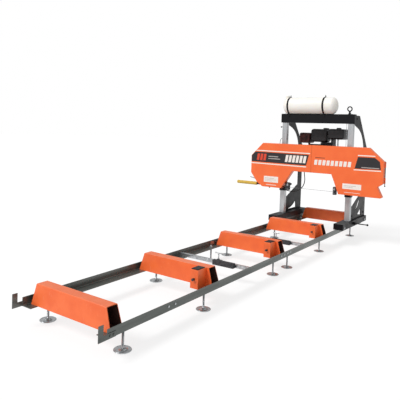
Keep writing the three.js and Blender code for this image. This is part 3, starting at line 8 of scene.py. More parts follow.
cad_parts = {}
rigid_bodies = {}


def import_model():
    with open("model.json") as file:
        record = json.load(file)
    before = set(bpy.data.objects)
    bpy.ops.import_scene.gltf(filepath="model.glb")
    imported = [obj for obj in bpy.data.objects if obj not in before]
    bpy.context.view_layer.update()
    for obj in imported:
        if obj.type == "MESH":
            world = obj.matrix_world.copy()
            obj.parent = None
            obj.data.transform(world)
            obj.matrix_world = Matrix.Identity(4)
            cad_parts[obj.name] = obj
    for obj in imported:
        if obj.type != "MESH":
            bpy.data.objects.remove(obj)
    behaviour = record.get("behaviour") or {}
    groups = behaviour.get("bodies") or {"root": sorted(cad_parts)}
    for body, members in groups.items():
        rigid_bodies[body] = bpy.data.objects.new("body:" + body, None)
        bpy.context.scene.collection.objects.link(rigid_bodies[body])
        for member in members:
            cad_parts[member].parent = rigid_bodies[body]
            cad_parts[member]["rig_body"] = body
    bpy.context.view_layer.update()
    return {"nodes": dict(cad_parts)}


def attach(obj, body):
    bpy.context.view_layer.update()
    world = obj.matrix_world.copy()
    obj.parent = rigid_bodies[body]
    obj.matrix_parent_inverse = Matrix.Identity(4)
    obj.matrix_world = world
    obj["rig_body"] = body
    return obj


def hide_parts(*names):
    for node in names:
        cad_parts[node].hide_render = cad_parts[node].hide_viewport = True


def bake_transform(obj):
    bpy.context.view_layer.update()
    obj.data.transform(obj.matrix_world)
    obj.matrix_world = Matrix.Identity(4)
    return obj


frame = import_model()
nodes = frame["nodes"]
mm = 0.001
trackX = 0.131  # the middle of the track, seen from the origin
headY = 1.862  # the middle of the guide posts
scene = bpy.context.scene
print("frame loaded:", len(nodes), "solids")


# Camera, lights and floor

view = {
    "place": (2.6963, -4.6739, 1.4635),
    "yaw": 34.8704, "pitch": 1.5317, "roll": 1.9529,  # degrees
    "lens": 42.857, "sensor": 36, "shift": (-0.00661, -0.13992), "reach": 100,
}


def placeCamera(spec):
    yaw, pitch, roll = (math.radians(spec[k]) for k in ("yaw", "pitch", "roll"))
    forward = Vector((-math.sin(yaw) * math.cos(pitch), math.cos(yaw) * math.cos(pitch), -math.sin(pitch)))
    level = Vector((math.cos(yaw), math.sin(yaw), 0))
    right = level * math.cos(roll) + level.cross(forward) * math.sin(roll)
    up = right.cross(forward)
    data = bpy.data.cameras.new("camera")
    data.sensor_width = spec["sensor"]
    data.lens = spec["lens"]
    data.shift_x, data.shift_y = spec["shift"]
    data.clip_end = spec["reach"]
    eye = bpy.data.objects.new("camera", data)
    turn = Matrix((right, up, -forward)).transposed().to_4x4()
    eye.matrix_world = Matrix.Translation(spec["place"]) @ turn
    scene.collection.objects.link(eye)
    scene.camera = eye


placeCamera(view)

light = {"sun": 1.75, "sunAngle": 18, "sunFrom": (-2.2, -4.5, 5.0), "sky": 0.62}


def toLinear(text):
    parts = [int(text[i:i + 2], 16) / 255 for i in (0, 2, 4)]
    return tuple(c / 12.92 if c <= 0.04045 else ((c + 0.055) / 1.055) ** 2.4 for c in parts) + (1.0,)


# Adds one node to a surface or the sky; values and links go by the name or number of an input
def addNode(tree, kind, values=None, links=None, **settings):
    made = tree.nodes.new(kind)
    for key, value in settings.items():
        setattr(made, key, value)
    for socket, value in (values or {}).items():
        made.inputs[socket].default_value = value
    for socket, source in (links or {}).items():
        tree.links.new(source, made.inputs[socket])
    return made


def lightScene(spec):
    lamp = bpy.data.lights.new("sun", "SUN")
    lamp.energy = spec["sun"]
    lamp.angle = math.radians(spec["sunAngle"])
    sun = bpy.data.objects.new("sun", lamp)
    sun.rotation_euler = Vector(spec["sunFrom"]).to_track_quat("Z", "Y").to_euler()
    scene.collection.objects.link(sun)
    world = bpy.data.worlds.new("studio")
    scene.world = world
    world.use_nodes = True
    tree = world.node_tree
    tree.nodes.clear()
    path = addNode(tree, "ShaderNodeLightPath")
    seen = addNode(tree, "ShaderNodeMath", links={0: path.outputs["Is Camera Ray"],
                                                  1: path.outputs["Is Transmission Ray"]},
                   operation="MAXIMUM")
    strength = addNode(tree, "ShaderNodeMix", values={2: spec["sky"], 3: 1.0}, links={0: seen.outputs[0]})
    back = addNode(tree, "ShaderNodeBackground", values={0: (1, 1, 1, 1)}, links={1: strength.outputs[0]})
    addNode(tree, "ShaderNodeOutputWorld", links={0: back.outputs[0]})


lightScene(light)
scene.view_settings.view_transform = "Standard"


# White paper: the camera and reflections see it glow, so that it stays white and keeps a soft shadow
paper = {"half": 60, "drop": 0.002, "plain": (0.75, 0.75, 0.75, 1), "shade": (0.3, 0.3, 0.3, 1),
         "glow": 0.74}


def makeFloor(spec):
    bm = bmesh.new()
    bmesh.ops.create_grid(bm, x_segments=1, y_segments=1, size=spec["half"])
    bmesh.ops.translate(bm, verts=bm.verts, vec=(0, 0, -spec["drop"]))
    data = bpy.data.meshes.new("floor")
    bm.to_mesh(data)
    floor = bpy.data.objects.new("floor", data)
    scene.collection.objects.link(floor)
    surface = bpy.data.materials.new("white_paper_floor")
    surface.use_nodes = True
    tree = surface.node_tree
    tree.nodes.clear()
    path = addNode(tree, "ShaderNodeLightPath")
    seen = addNode(tree, "ShaderNodeMath", links={0: path.outputs["Is Camera Ray"],
                                                  1: path.outputs["Is Glossy Ray"]}, operation="MAXIMUM")
    plain = addNode(tree, "ShaderNodeBsdfDiffuse", values={0: spec["plain"]})
    shade = addNode(tree, "ShaderNodeBsdfDiffuse", values={0: spec["shade"]})
    glow = addNode(tree, "ShaderNodeEmission", values={0: (1, 1, 1, 1), 1: spec["glow"]})
    pale = addNode(tree, "ShaderNodeAddShader", links={0: shade.outputs[0], 1: glow.outputs[0]})
    mix = addNode(tree, "ShaderNodeMixShader", links={0: seen.outputs[0], 1: plain.outputs[0],
                                                      2: pale.outputs[0]})
    addNode(tree, "ShaderNodeOutputMaterial", links={0: mix.outputs[0]})
    data.materials.append(surface)


makeFloor(paper)
print("camera, light and floor placed")


# Materials: colours are sRGB hex, sizes are millimetres

finishes = {
    # Powder coat on folded steel: even colour, faint orange peel, soft gloss
    "orangePowderCoat": {"base": "f96f2e", "second": "f56728", "patch": 180, "rough": (0.34, 0.46),
                         "peel": 2.5, "bump": 0.05, "coat": 0.15, "dust": ("e9b690", 0.10)},
    # The same coat on the bunks, a little dulled by sawdust and scuffed by logs
    "scuffedOrangeCoat": {"base": "fa6f2e", "second": "f2652a", "patch": 120, "rough": (0.36, 0.55),
                          "peel": 3, "bump": 0.06, "coat": 0.1, "dust": ("d9a27c", 0.16), "scuff": 6},
    # Painted shade inside the bunks: a dark red-brown, dull finish that stands for the shadow in the
    # channel's hollow
    "darkPrimer": {"base": "4a2a22", "second": "3a211b", "patch": 70, "rough": (0.6, 0.75), "peel": 2.5,
                   "bump": 0.08},
    # Powder coat on steel tube and plate: near black, with a weak soft shine
    "blackPowderCoat": {"base": "121217", "second": "0c0c10", "patch": 90, "rough": (0.36, 0.5),
                        "peel": 2, "bump": 0.06, "specular": 0.2, "dust": ("4a4541", 0.04)},
    # Hot-rolled angle with black mill scale, oiled, so it is streaky and semi-glossy
    "millScaleSteel": {"base": "676c69", "second": "515653", "patch": 60, "stretch": (1, 0.12, 1),
                       "rough": (0.22, 0.38), "peel": 6, "bump": 0.05, "metal": 0.4,
                       "dust": ("8a8478", 0.08)},
    # Zinc plate on bolts, tubes and levers: bright cool grey that mirrors softly
    "zincPlate": {"base": "c6c9cb", "second": "abafb2", "patch": 30, "rough": (0.24, 0.4), "peel": 4,
                  "bump": 0.05, "metal": 0.9},
    # Silver paint on the guide posts, slightly streaked by the sliding head
    "silverPaint": {"base": "c6c9cb", "second": "b0b4b7", "patch": 70, "stretch": (1, 1, 0.15),
                    "rough": (0.3, 0.45), "peel": 3, "bump": 0.04, "metal": 0.55},
    # Sand-cast iron: dark grey, grainy
    "castIron": {"base": "4c4d50", "second": "393a3d", "patch": 25, "rough": (0.5, 0.68), "peel": 1.6,
                 "bump": 0.25, "metal": 0.5},
    # Die-cast alloy under black paint: dark grey and slightly rough, with a faint sheen
    "engineAlloy": {"base": "3c3d40", "second": "2c2d30", "patch": 40, "rough": (0.45, 0.6), "peel": 1.8,
                    "bump": 0.2, "metal": 0.3},
    # Rolled carbon steel: bright and smooth, with faint lines along the band
    "bladeSteel": {"base": "8f9498", "second": "70757a", "patch": 40, "stretch": (0.1, 1, 1),
                   "rough": (0.2, 0.34), "peel": 5, "bump": 0.04, "metal": 0.95},
    # Moulded ABS: black, its shine dulled by a fine spark-eroded texture
    "blackPlastic": {"base": "222225", "second": "1b1b1e", "patch": 80, "rough": (0.42, 0.55),
                     "peel": 1.2, "bump": 0.12},
    # Extruded rubber: black, dull and a little uneven
    "blackRubber": {"base": "1b1b1c", "second": "242425", "patch": 30, "rough": (0.7, 0.85), "peel": 2,
                    "bump": 0.1},
    # Rotomoulded polyethylene: milky, waxy, lets a little light in
    "milkyPolyethylene": {"base": "faf7f1", "second": "f5f1e8", "patch": 220, "rough": (0.38, 0.5),
                          "peel": 3, "bump": 0.08, "subsurface": 0.12},
    # Moulded foam rubber: yellow and matt, with fine pores
    "yellowFoam": {"base": "dcbb55", "second": "cda743", "patch": 20, "rough": (0.75, 0.9), "peel": 1.5,
                   "bump": 0.3},
    # Heat-darkened muffler sheet, a little red with rust
    "heatedSteel": {"base": "54241f", "second": "321b1a", "patch": 45, "rough": (0.45, 0.65), "peel": 2,
                    "bump": 0.12, "metal": 0.35},
    # Printed vinyl film on the doors: flat colours with a low even shine
    "blackVinyl": {"base": "232124", "second": "1e1c20", "patch": 200, "rough": (0.3, 0.36), "peel": 8,
                   "bump": 0.02},
    "whiteVinyl": {"base": "f6efe8", "second": "f1e9e1", "patch": 200, "rough": (0.32, 0.4), "peel": 8,
                   "bump": 0.02},
    "greyVinyl": {"base": "b9b0ac", "second": "a89f9b", "patch": 60, "rough": (0.32, 0.4), "peel": 8,
                  "bump": 0.02},
    "redVinyl": {"base": "e4492a", "second": "da4022", "patch": 200, "rough": (0.32, 0.4), "peel": 8,
                 "bump": 0.02},
}


def makeFinish(name, look):
    surface = bpy.data.materials.new(name)
    surface.use_nodes = True
    tree = surface.node_tree
    tree.nodes.clear()
    place = addNode(tree, "ShaderNodeTexCoord")
    stretch = look.get("stretch", (1, 1, 1))
    mapped = addNode(tree, "ShaderNodeMapping", values={"Scale": stretch},
                     links={0: place.outputs["Object"]})
    patches = addNode(tree, "ShaderNodeTexNoise", values={"Scale": 1 / (look["patch"] * mm), "Detail": 4},
                      links={"Vector": mapped.outputs[0]})
    spread = addNode(tree, "ShaderNodeMapRange", values={1: 0.35, 2: 0.65}, links={0: patches.outputs[0]})
    colour = addNode(tree, "ShaderNodeMix", values={6: toLinear(look["base"]), 7: toLinear(look["second"])},
                     links={0: spread.outputs[0]}, data_type="RGBA")
    tint = colour.outputs[2]
    low, high = look["rough"]
    rough = addNode(tree, "ShaderNodeMapRange", values={1: 0.3, 2: 0.7, 3: low, 4: high},
                    links={0: patches.outputs[0]})
    if "dust" in look:  # fine dust settles on what faces up
        shade, most = look["dust"]
        facing = addNode(tree, "ShaderNodeNewGeometry")
        split = addNode(tree, "ShaderNodeSeparateXYZ", links={0: facing.outputs["Normal"]})
        specks = addNode(tree, "ShaderNodeTexNoise", values={"Scale": 1 / (9 * mm), "Detail": 5},
                         links={"Vector": place.outputs["Object"]})
        lying = addNode(tree, "ShaderNodeMapRange", values={1: 0.2, 2: 1.0, 3: 0.15, 4: 1.0},
                        links={0: split.outputs[2]})
        amount = addNode(tree, "ShaderNodeMath", links={0: specks.outputs[0], 1: lying.outputs[0]},
                         operation="MULTIPLY")
        share = addNode(tree, "ShaderNodeMath", values={1: most * 2}, links={0: amount.outputs[0]},
                        operation="MULTIPLY")
        dusted = addNode(tree, "ShaderNodeMix", values={7: toLinear(shade)},
                         links={0: share.outputs[0], 6: tint}, data_type="RGBA")
        tint = dusted.outputs[2]
    if "scuff" in look:  # short pale scratches where logs are rolled
        lines = addNode(tree, "ShaderNodeMapping", values={"Scale": (1, 0.12, 0.12)},
                        links={0: place.outputs["Object"]})
        scratches = addNode(tree, "ShaderNodeTexNoise",
                            values={"Scale": 1 / (look["scuff"] * mm), "Detail": 3},
                            links={"Vector": lines.outputs[0]})
        thin = addNode(tree, "ShaderNodeMapRange", values={1: 0.68, 2: 0.74, 3: 0.0, 4: 0.5},
                       links={0: scratches.outputs[0]})
        scuffed = addNode(tree, "ShaderNodeMix", values={7: toLinear("f2a27c")},
                          links={0: thin.outputs[0], 6: tint}, data_type="RGBA")
        tint = scuffed.outputs[2]
    grain = addNode(tree, "ShaderNodeTexNoise", values={"Scale": 1 / (look["peel"] * mm), "Detail": 2},
                    links={"Vector": mapped.outputs[0]})
    bump = addNode(tree, "ShaderNodeBump", values={"Strength": look["bump"], "Distance": 0.4 * mm},
                   links={"Height": grain.outputs[0]})
    shader = addNode(tree, "ShaderNodeBsdfPrincipled",
                     values={"Metallic": look.get("metal", 0.0), "Coat Weight": look.get("coat", 0.0),
                             "Specular IOR Level": look.get("specular", 0.5),
                             "Coat Roughness": 0.25, "Subsurface Weight": look.get("subsurface", 0.0),
                             "Subsurface Radius": (0.01, 0.008, 0.006)},
                     links={"Base Color": tint, "Roughness": rough.outputs[0], "Normal": bump.outputs[0]})
    addNode(tree, "ShaderNodeOutputMaterial", links={0: shader.outputs[0]})
    return surface


finish = {name: makeFinish(name, look) for name, look in finishes.items()}
print("materials made:", len(finish))


# Helpers that shape and place pieces; shapes are in millimetres

places = {"track": (trackX, 0, 0), "carriage": (trackX, headY, 0)}
sides = {"right": 1, "left": -1}


def axisTurn(axis):
    return {"X": Matrix.Rotation(math.pi / 2, 4, "Y"), "Y": Matrix.Rotation(-math.pi / 2, 4, "X"),
            "Z": Matrix.Identity(4)}[axis]


def roundEdges(bm, edges, width, segments=2):
    bmesh.ops.bevel(bm, geom=list(edges), offset=width, offset_type="OFFSET", segments=segments, profile=0.5,
                    affect="EDGES", clamp_overlap=True, material=-1)


def sharpEdges(faces, degrees=32):
    edges = {e for f in faces for e in f.edges}
    return [e for e in edges if len(e.link_faces) == 2 and e.calc_face_angle(0.0) > math.radians(degrees)]


# Runs a step of modelling and returns the faces that it has made
def madeBy(bm, build):
    before = set(bm.faces)
    build()
    return [f for f in bm.faces if f not in before]


# The vertices, and the faces, in what a step of modelling gives back
def vertsIn(geom):
    return [g for g in geom if isinstance(g, bmesh.types.BMVert)]


def facesIn(geom):
    return [g for g in geom if isinstance(g, bmesh.types.BMFace)]


def box(bm, x0, x1, y0, y1, z0, z1, soft=1.0, segments=2):
    def build():
        verts = bmesh.ops.create_cube(bm, size=1)["verts"]
        bmesh.ops.scale(bm, vec=(x1 - x0, y1 - y0, z1 - z0), verts=verts)
        bmesh.ops.translate(bm, vec=((x0 + x1) / 2, (y0 + y1) / 2, (z0 + z1) / 2), verts=verts)
    faces = madeBy(bm, build)
    if soft:
        roundEdges(bm, {e for f in faces for e in f.edges}, soft, segments)


# A turned shape: profile points are (radius, height), and it closes on itself or on its axis
def lathe(bm, profile, axis, centre, steps=48, closed=False):
    older = set(bm.verts)
    verts = [bm.verts.new((radius, 0, height)) for radius, height in profile]
    pairs = list(zip(verts, verts[1:])) + ([(verts[-1], verts[0])] if closed else [])
    edges = [bm.edges.new(pair) for pair in pairs]
    bmesh.ops.spin(bm, geom=verts + edges, cent=(0, 0, 0), axis=(0, 0, 1), dvec=(0, 0, 0), angle=2 * math.pi,
                   steps=steps, use_merge=True, use_duplicate=False)
    bmesh.ops.remove_doubles(bm, verts=[v for v in bm.verts if v not in older], dist=1e-4)
    fresh = [v for v in bm.verts if v not in older]
    bmesh.ops.transform(bm, matrix=Matrix.Translation(centre) @ axisTurn(axis), verts=fresh)
    bmesh.ops.recalc_face_normals(bm, faces=list({f for v in fresh for f in v.link_faces}))


# A round bar with softened ends, from low to high along an axis
def bar(bm, radius, low, high, axis, centre, steps=32, soft=1.0, bore=0):
    if bore:
        lathe(bm, [(bore, low), (radius - soft, low), (radius, low + soft), (radius, high - soft),
                   (radius - soft, high), (bore, high)], axis, centre, steps, closed=True)
    else:
        lathe(bm, [(0, low), (radius - soft, low), (radius, low + soft), (radius, high - soft),
                   (radius - soft, high), (0, high)], axis, centre, steps)


def threadedBar(bm, radius, low, high, axis, centre, pitch=2.5, steps=20):
    count = int((high - low) / pitch)
    root = radius * 0.88
    profile = [(0, low)]
    for i in range(count):
        profile += [(root, low + pitch * i), (radius, low + pitch * (i + 0.5))]
    profile += [(root, low + pitch * count), (0, low + pitch * count)]
    lathe(bm, profile, axis, centre, steps)


# A hexagon nut or bolt head with chamfered corners
def hexagon(bm, radius, low, high, axis, centre):
    top = radius * 0.9
    rise = (high - low) * 0.12
    lathe(bm, [(0, low), (top, low), (radius, low + rise), (radius, high - rise), (top, high), (0, high)],
          axis, centre, 6)


# A bolt head or nut that stands from low towards high, on a washer where one is given
def bolt(bm, radius, low, high, axis, centre, washer=0):
    outwards = high > low
    if washer:
        thick = 2 if outwards else -2
        bar(bm, washer, min(low, low + thick), max(low, low + thick), axis, centre, 28, 0.4)
        low += thick
    hexagon(bm, radius, min(low, high), max(low, high), axis, centre)


# A plate from an outline with holes; points are in the plane's own two axes
def plate(bm, outline, axis, low, high, holes=(), soft=0.8, segments=2):
    def place(a, b, depth):
        return {"X": (depth, a, b), "Y": (a, depth, b), "Z": (a, b, depth)}[axis]

    def build():
        edges = []
        for loop in [outline, *holes]:
            verts = [bm.verts.new(place(a, b, low)) for a, b in loop]
            edges += [bm.edges.new(pair) for pair in zip(verts, verts[1:] + verts[:1])]
        if holes:
            faces = facesIn(bmesh.ops.triangle_fill(bm, use_beauty=True, edges=edges)["geom"])
        else:
            faces = bmesh.ops.contextual_create(bm, geom=edges)["faces"]
        grown = bmesh.ops.extrude_face_region(bm, geom=faces, use_keep_orig=True)["geom"]
        bmesh.ops.translate(bm, vec=Vector(place(0, 0, high - low)), verts=vertsIn(grown))
    faces = madeBy(bm, build)
    bmesh.ops.recalc_face_normals(bm, faces=faces)
    if soft:
        roundEdges(bm, sharpEdges(faces, 40), soft, segments)


def circle(x, z, radius, count=32):
    return [(x + radius * math.cos(2 * math.pi * i / count), z + radius * math.sin(2 * math.pi * i / count))
            for i in range(count)]


# Places round a centre, one at each step of so many degrees
def around(x, z, radius, step, start=0):
    return [(x + radius * math.cos(math.radians(turn)), z + radius * math.sin(math.radians(turn)))
            for turn in range(start, start + 360, step)]


def roundedRect(x0, x1, z0, z1, radius, count=6):
    points = []
    for cx, cz, start in ((x1 - radius, z0 + radius, -90), (x1 - radius, z1 - radius, 0),
                          (x0 + radius, z1 - radius, 90), (x0 + radius, z0 + radius, 180)):
        for i in range(count + 1):
            angle = math.radians(start + 90 * i / count)
            points.append((cx + radius * math.cos(angle), cz + radius * math.sin(angle)))
    return points


# A circle with fine ridges, as on a screw cap
def ridged(x, y, radius, depth):
    corners = 72
    radii = [radius - depth * (i % 2) for i in range(corners)]
    return [(x + r * math.cos(2 * math.pi * i / corners), y + r * math.sin(2 * math.pi * i / corners))
            for i, r in enumerate(radii)]


# A sheet as wide as low to high in X, bent along a path; its thickness is added outwards
def strip(bm, path, low, high, sheet):
    verts = [bm.verts.new((low, y, z)) for y, z in path]
    edges = [bm.edges.new(pair) for pair in zip(verts, verts[1:])]
    grown = bmesh.ops.extrude_edge_only(bm, edges=edges)["geom"]
    bmesh.ops.translate(bm, vec=(high - low, 0, 0), verts=vertsIn(grown))
    faces = facesIn(grown)
    bmesh.ops.recalc_face_normals(bm, faces=faces)
    top = max(faces, key=lambda f: f.calc_center_median().z)
    if top.normal.z < 0:
        bmesh.ops.reverse_faces(bm, faces=faces)
    bmesh.ops.solidify(bm, geom=faces, thickness=-sheet)
    bmesh.ops.recalc_face_normals(bm, faces=bm.faces)


# Points of a smooth curve through the given ones
def smoothPath(points, parts=6):
    knots = [Vector(p) for p in points]
    ends = [2 * knots[0] - knots[1], *knots, 2 * knots[-1] - knots[-2]]
    path = []
    for a, b, c, d in zip(ends, ends[1:], ends[2:], ends[3:]):
        gaps = [max((q - p).length, 1e-6) ** 0.5 for p, q in ((a, b), (b, c), (c, d))]
        for i in range(parts):
            t = i / parts
            m0 = (c - b) - gaps[1] * ((c - a) / (gaps[0] + gaps[1]) - (b - a) / gaps[0])
            m1 = (c - b) + gaps[1] * ((d - c) / gaps[2] - (d - b) / (gaps[1] + gaps[2]))
            path.append((2 * t ** 3 - 3 * t ** 2 + 1) * b + (t ** 3 - 2 * t ** 2 + t) * m0
                        + (3 * t ** 2 - 2 * t ** 3) * c + (t ** 3 - t ** 2) * m1)
    return [*path, knots[-1]]


# Places along a path, each turned to face along it without twisting
def frames(path):
    points = [Vector(p) for p in path]
    normal = (points[1] - points[0]).orthogonal().normalized()
    turns = []
    for i, point in enumerate(points):
        ahead = (points[min(i + 1, len(points) - 1)] - points[max(i - 1, 0)]).normalized()
        normal = (normal - ahead * normal.dot(ahead)).normalized()
        turn = Matrix((normal, ahead.cross(normal), ahead)).transposed().to_4x4()
        turns.append(Matrix.Translation(point) @ turn)
    return turns


# A round tube along a path
def sweep(bm, path, radius, sides=12):
    turns = frames(path)

    def build():
        ring = bmesh.ops.create_circle(bm, cap_ends=True, segments=sides, radius=radius,
                                       matrix=turns[0])["verts"]
        edges = list({e for v in ring for e in v.link_edges})
        for last, following in zip(turns, turns[1:]):
            grown = bmesh.ops.extrude_edge_only(bm, edges=edges)["geom"]
            verts = set(vertsIn(grown))
            bmesh.ops.transform(bm, matrix=following @ last.inverted(), verts=list(verts))
            edges = [g for g in grown if isinstance(g, bmesh.types.BMEdge) and verts.issuperset(g.verts)]
        bmesh.ops.contextual_create(bm, geom=edges)
    bmesh.ops.recalc_face_normals(bm, faces=madeBy(bm, build))


# Turns modelled shapes into a piece: millimetres to metres, smooth faces, finish, body and slot
def finishPiece(bm, name, body, look, stands=(), smoothBelow=32, place="carriage"):
    if place:
        put = Matrix.Translation(places[place]) @ Matrix.Scale(mm, 4)
        bmesh.ops.transform(bm, matrix=put, verts=bm.verts)
    limit = math.radians(smoothBelow)
    for edge in bm.edges:
        edge.smooth = edge.calc_face_angle(0.0) < limit
    area = {face: face.calc_area() for face in bm.faces}
    for face in bm.faces:  # a wide flat face beside narrow rounded ones keeps its own shading
        bent = [other for e in face.edges if 0.02 < e.calc_face_angle(0.0) < limit
                for other in e.link_faces if other != face]
        face.smooth = not bent or any(area[other] * 8 > area[face] for other in bent)
    data = bpy.data.meshes.new(name)
    bm.to_mesh(data)
    bm.free()
    data.materials.append(finish[look])
    piece = bpy.data.objects.new(name, data)
    scene.collection.objects.link(piece)
    if body:
        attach(piece, body)
    if stands:
        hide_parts(*stands)
    return piece


# A copy of a CAD node with its edges rounded as folded and rolled steel's are
def refine(node, look, width, segments=2, drop=None, folds=None):
    bm = bmesh.new()
    bm.from_mesh(nodes[node].data)
    bmesh.ops.remove_doubles(bm, verts=bm.verts, dist=1e-5)
    if drop:  # leaves out what has a detailed piece of its own
        bmesh.ops.delete(bm, geom=[v for v in bm.verts if drop(v.co)], context="VERTS")
        bmesh.ops.holes_fill(bm, edges=[e for e in bm.edges if e.is_boundary], sides=0)
    bmesh.ops.dissolve_limit(bm, angle_limit=math.radians(1.5), verts=bm.verts, edges=bm.edges,
                             use_dissolve_boundaries=False, delimit={"NORMAL"})
    if folds:
        roundEdges(bm, [e for e in sharpEdges(bm.faces) if folds(e)], 6 * mm, 4)
    if width:
        roundEdges(bm, sharpEdges(bm.faces), width * mm, segments)
    return finishPiece(bm, node + "_steel", nodes[node]["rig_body"], look, [node], place=None)


# Cords: the water hose and the throttle cable

cords = {
    "water_hose": {"radius": 6, "look": "blackRubber", "stiffness": "medium", "points": [
        (-165, -15, 959.7), (-165, -15, 947.7), (-152, -28, 880), (-142, -34, 810), (-158, -40, 730),
        (-210, -48, 664), (-285, -58, 634), (-370, -66, 632), (-440, -70, 652), (-480, -71, 690),
        (-486, -71, 701.4), (-486, -71, 713.4)]},
    "throttle_cable": {"radius": 3.5, "look": "blackPlastic", "stiffness": "stiff", "points": [
        (-892, -25.4, 724), (-892, -13.4, 724), (-889, 14, 733), (-872, 48, 776), (-832, 74, 860),
        (-768, 87, 980), (-698, 92, 1110), (-640, 92, 1235), (-618, 91, 1310), (-610, 90, 1368),
        (-602, 91, 1386), (-586, 91, 1397), (-567, 92, 1400), (-549, 93, 1393), (-536, 93, 1379),
        (-531, 94, 1363), (-520, 99, 1322), (-494, 106, 1286), (-440, 121, 1256), (-340, 150, 1240),
        (-180, 184, 1236), (-60, 197, 1236), (-27.3, 200, 1236), (-15.3, 200, 1236)]},
}


def makeCord(name, spec):
    points = smoothPath(spec["points"], 3)
    path = [Vector(places["carriage"]) + p * mm for p in points]
    curve = bpy.data.curves.new(name + "_sheath", "CURVE")
    curve.dimensions = "3D"
    line = curve.splines.new("POLY")
    line.points.add(len(path) - 1)
    for point, place in zip(line.points, path):
        point.co = (*place, 1)
    curve.bevel_depth = spec["radius"] * mm
    curve.bevel_resolution = 6
    curve.use_fill_caps = True
    curve.materials.append(finish[spec["look"]])
    piece = bpy.data.objects.new(name + "_sheath", curve)
    scene.collection.objects.link(piece)
    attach(piece, "saw_head")
    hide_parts(name)


for cordName, cordSpec in cords.items():
    makeCord(cordName, cordSpec)
print("cords placed")


# Track: rails, splice plates, feet and end stops

rail = {"half": 2587.5, "outer": 440, "flange": 100, "sheet": 6, "low": 149, "top": 214, "joint": 0.15,
        "toe": 3.5, "fillet": 7, "boltZ": 184.5, "frontBolts": (-1983.5, -1907.5)}
bunkPlaces = [share * rail["half"] for share in (-0.957, -0.5065, 0, 0.481, 0.9536)]


def makeRail(name, sign, start, end):
    bm = bmesh.new()
    outer, sheet, low, top = rail["outer"], rail["sheet"], rail["low"], rail["top"]
    inner, toe, fillet = outer - rail["flange"], rail["toe"], rail["fillet"]
    section = [(outer, low), (outer, top), (outer - sheet + toe, top),
               (outer - sheet + toe / 3, top - toe / 3), (outer - sheet, top - toe)]
    for i in range(7):
        angle = math.radians(90 * i / 6)
        section.append((outer - sheet - fillet + fillet * math.cos(angle),
                        low + sheet + fillet - fillet * math.sin(angle)))
    section += [(inner + toe, low + sheet), (inner + toe / 3, low + sheet - toe / 3),
                (inner, low + sheet - toe), (inner, low)]
    plate(bm, [(sign * x, z) for x, z in section], "Y", start, end, soft=0.5, segments=1)
    finishPiece(bm, name, "track", "millScaleSteel", [name.replace("_angle", "")], place="track")


# Each foot stands so far behind or ahead of the bunk with that index
foot = {"x": 389, "disc": 62, "rod": 9, "rodTop": 32, "nut": 16, "nutHeight": 13.5, "washer": 19,
        "washerSheet": 2.2, "bunks": (0, 1, 2, 2, 3, 4), "right": (80, -150, -197, 146, -150, -150),
        "left": (80, 165, -197, 146, 165, -150)}


def makeFoot(name, sign, y):
    bm = bmesh.new()
    x = sign * foot["x"]
    r, low, flange = foot["disc"], rail["low"], rail["low"] + rail["sheet"]
    lathe(bm, [(0, 0), (r - 1.5, 0), (r, 1.5), (r, 4.5), (r - 2, 6.5), (r - 6, 6.5), (r - 9, 4.6),
               (r - 20, 4.2), (r - 27, 5.2), (r - 33, 9), (r - 38, 14), (r - 43, 16.5), (12, 17), (11, 15),
               (0, 15)], "Z", (x, y, 0), 64)
    threadedBar(bm, foot["rod"], 5, low + foot["rodTop"], "Z", (x, y, 0), 2.6, 24)
    for start in (low - 16, flange + 2):
        hexagon(bm, foot["nut"], start, start + foot["nutHeight"], "Z", (x, y, 0))
    for start in (low - foot["washerSheet"], flange):
        bar(bm, foot["washer"], start, start + foot["washerSheet"], "Z", (x, y, 0), 32, 0.5)
    finishPiece(bm, name, "track", "zincPlate", place="track")


# A J-shaped plate bolted to the rail's end, with a tab that stands up in the carriage's way
stop = {"reach": 80, "lap": 70, "height": 36, "tab": 42, "tabHeight": 106, "sheet": 5, "bolts": (20, 50)}


def makeStop(name, sign, end):
    bm = bmesh.new()
    tip, lap, low = rail["half"] + stop["reach"], rail["half"] - stop["lap"], rail["low"]
    tab, middle, high = tip - stop["tab"], low + stop["height"], low + stop["tabHeight"]
    shape = [(tip, low), (lap, low), (lap, middle), (tab, middle), (tab, high), (tip, high)]
    face = rail["outer"] + stop["sheet"]
    x0, x1 = sorted((sign * (rail["outer"] - 0.4), sign * face))
    plate(bm, [(end * y, z) for y, z in shape], "X", x0, x1, soft=0.9)
    for y in stop["bolts"]:
        bolt(bm, 8, sign * face, sign * (face + 5), "X", (0, end * (lap + y), low + 18), 10)
    finishPiece(bm, name, "track", "millScaleSteel", place="track")


splice = {"half": 150, "low": 164.5, "high": 204.5, "sheet": 5, "bolts": (-112, -38, 38, 112)}


def makeSplice(name, sign):
    bm = bmesh.new()
    face = sign * (rail["outer"] - rail["sheet"])
    back = face - sign * splice["sheet"]
    x0, x1 = sorted((face, back))
    box(bm, x0, x1, -splice["half"], splice["half"], splice["low"], splice["high"], 1)
    for y in splice["bolts"]:
        bolt(bm, 9, sign * rail["outer"], sign * (rail["outer"] + 5.5), "X", (0, y, rail["boltZ"]), 11)
        bolt(bm, 7, back, back - sign * 3, "X", (0, y, rail["boltZ"]))
    finishPiece(bm, name, "track", "zincPlate", place="track")


def makeRailBolts(name, sign):
    bm = bmesh.new()
    for y in rail["frontBolts"]:
        bolt(bm, 8, sign * rail["outer"], sign * (rail["outer"] + 4.5), "X", (0, y, rail["boltZ"]), 9)
    finishPiece(bm, name, "track", "zincPlate", place="track")


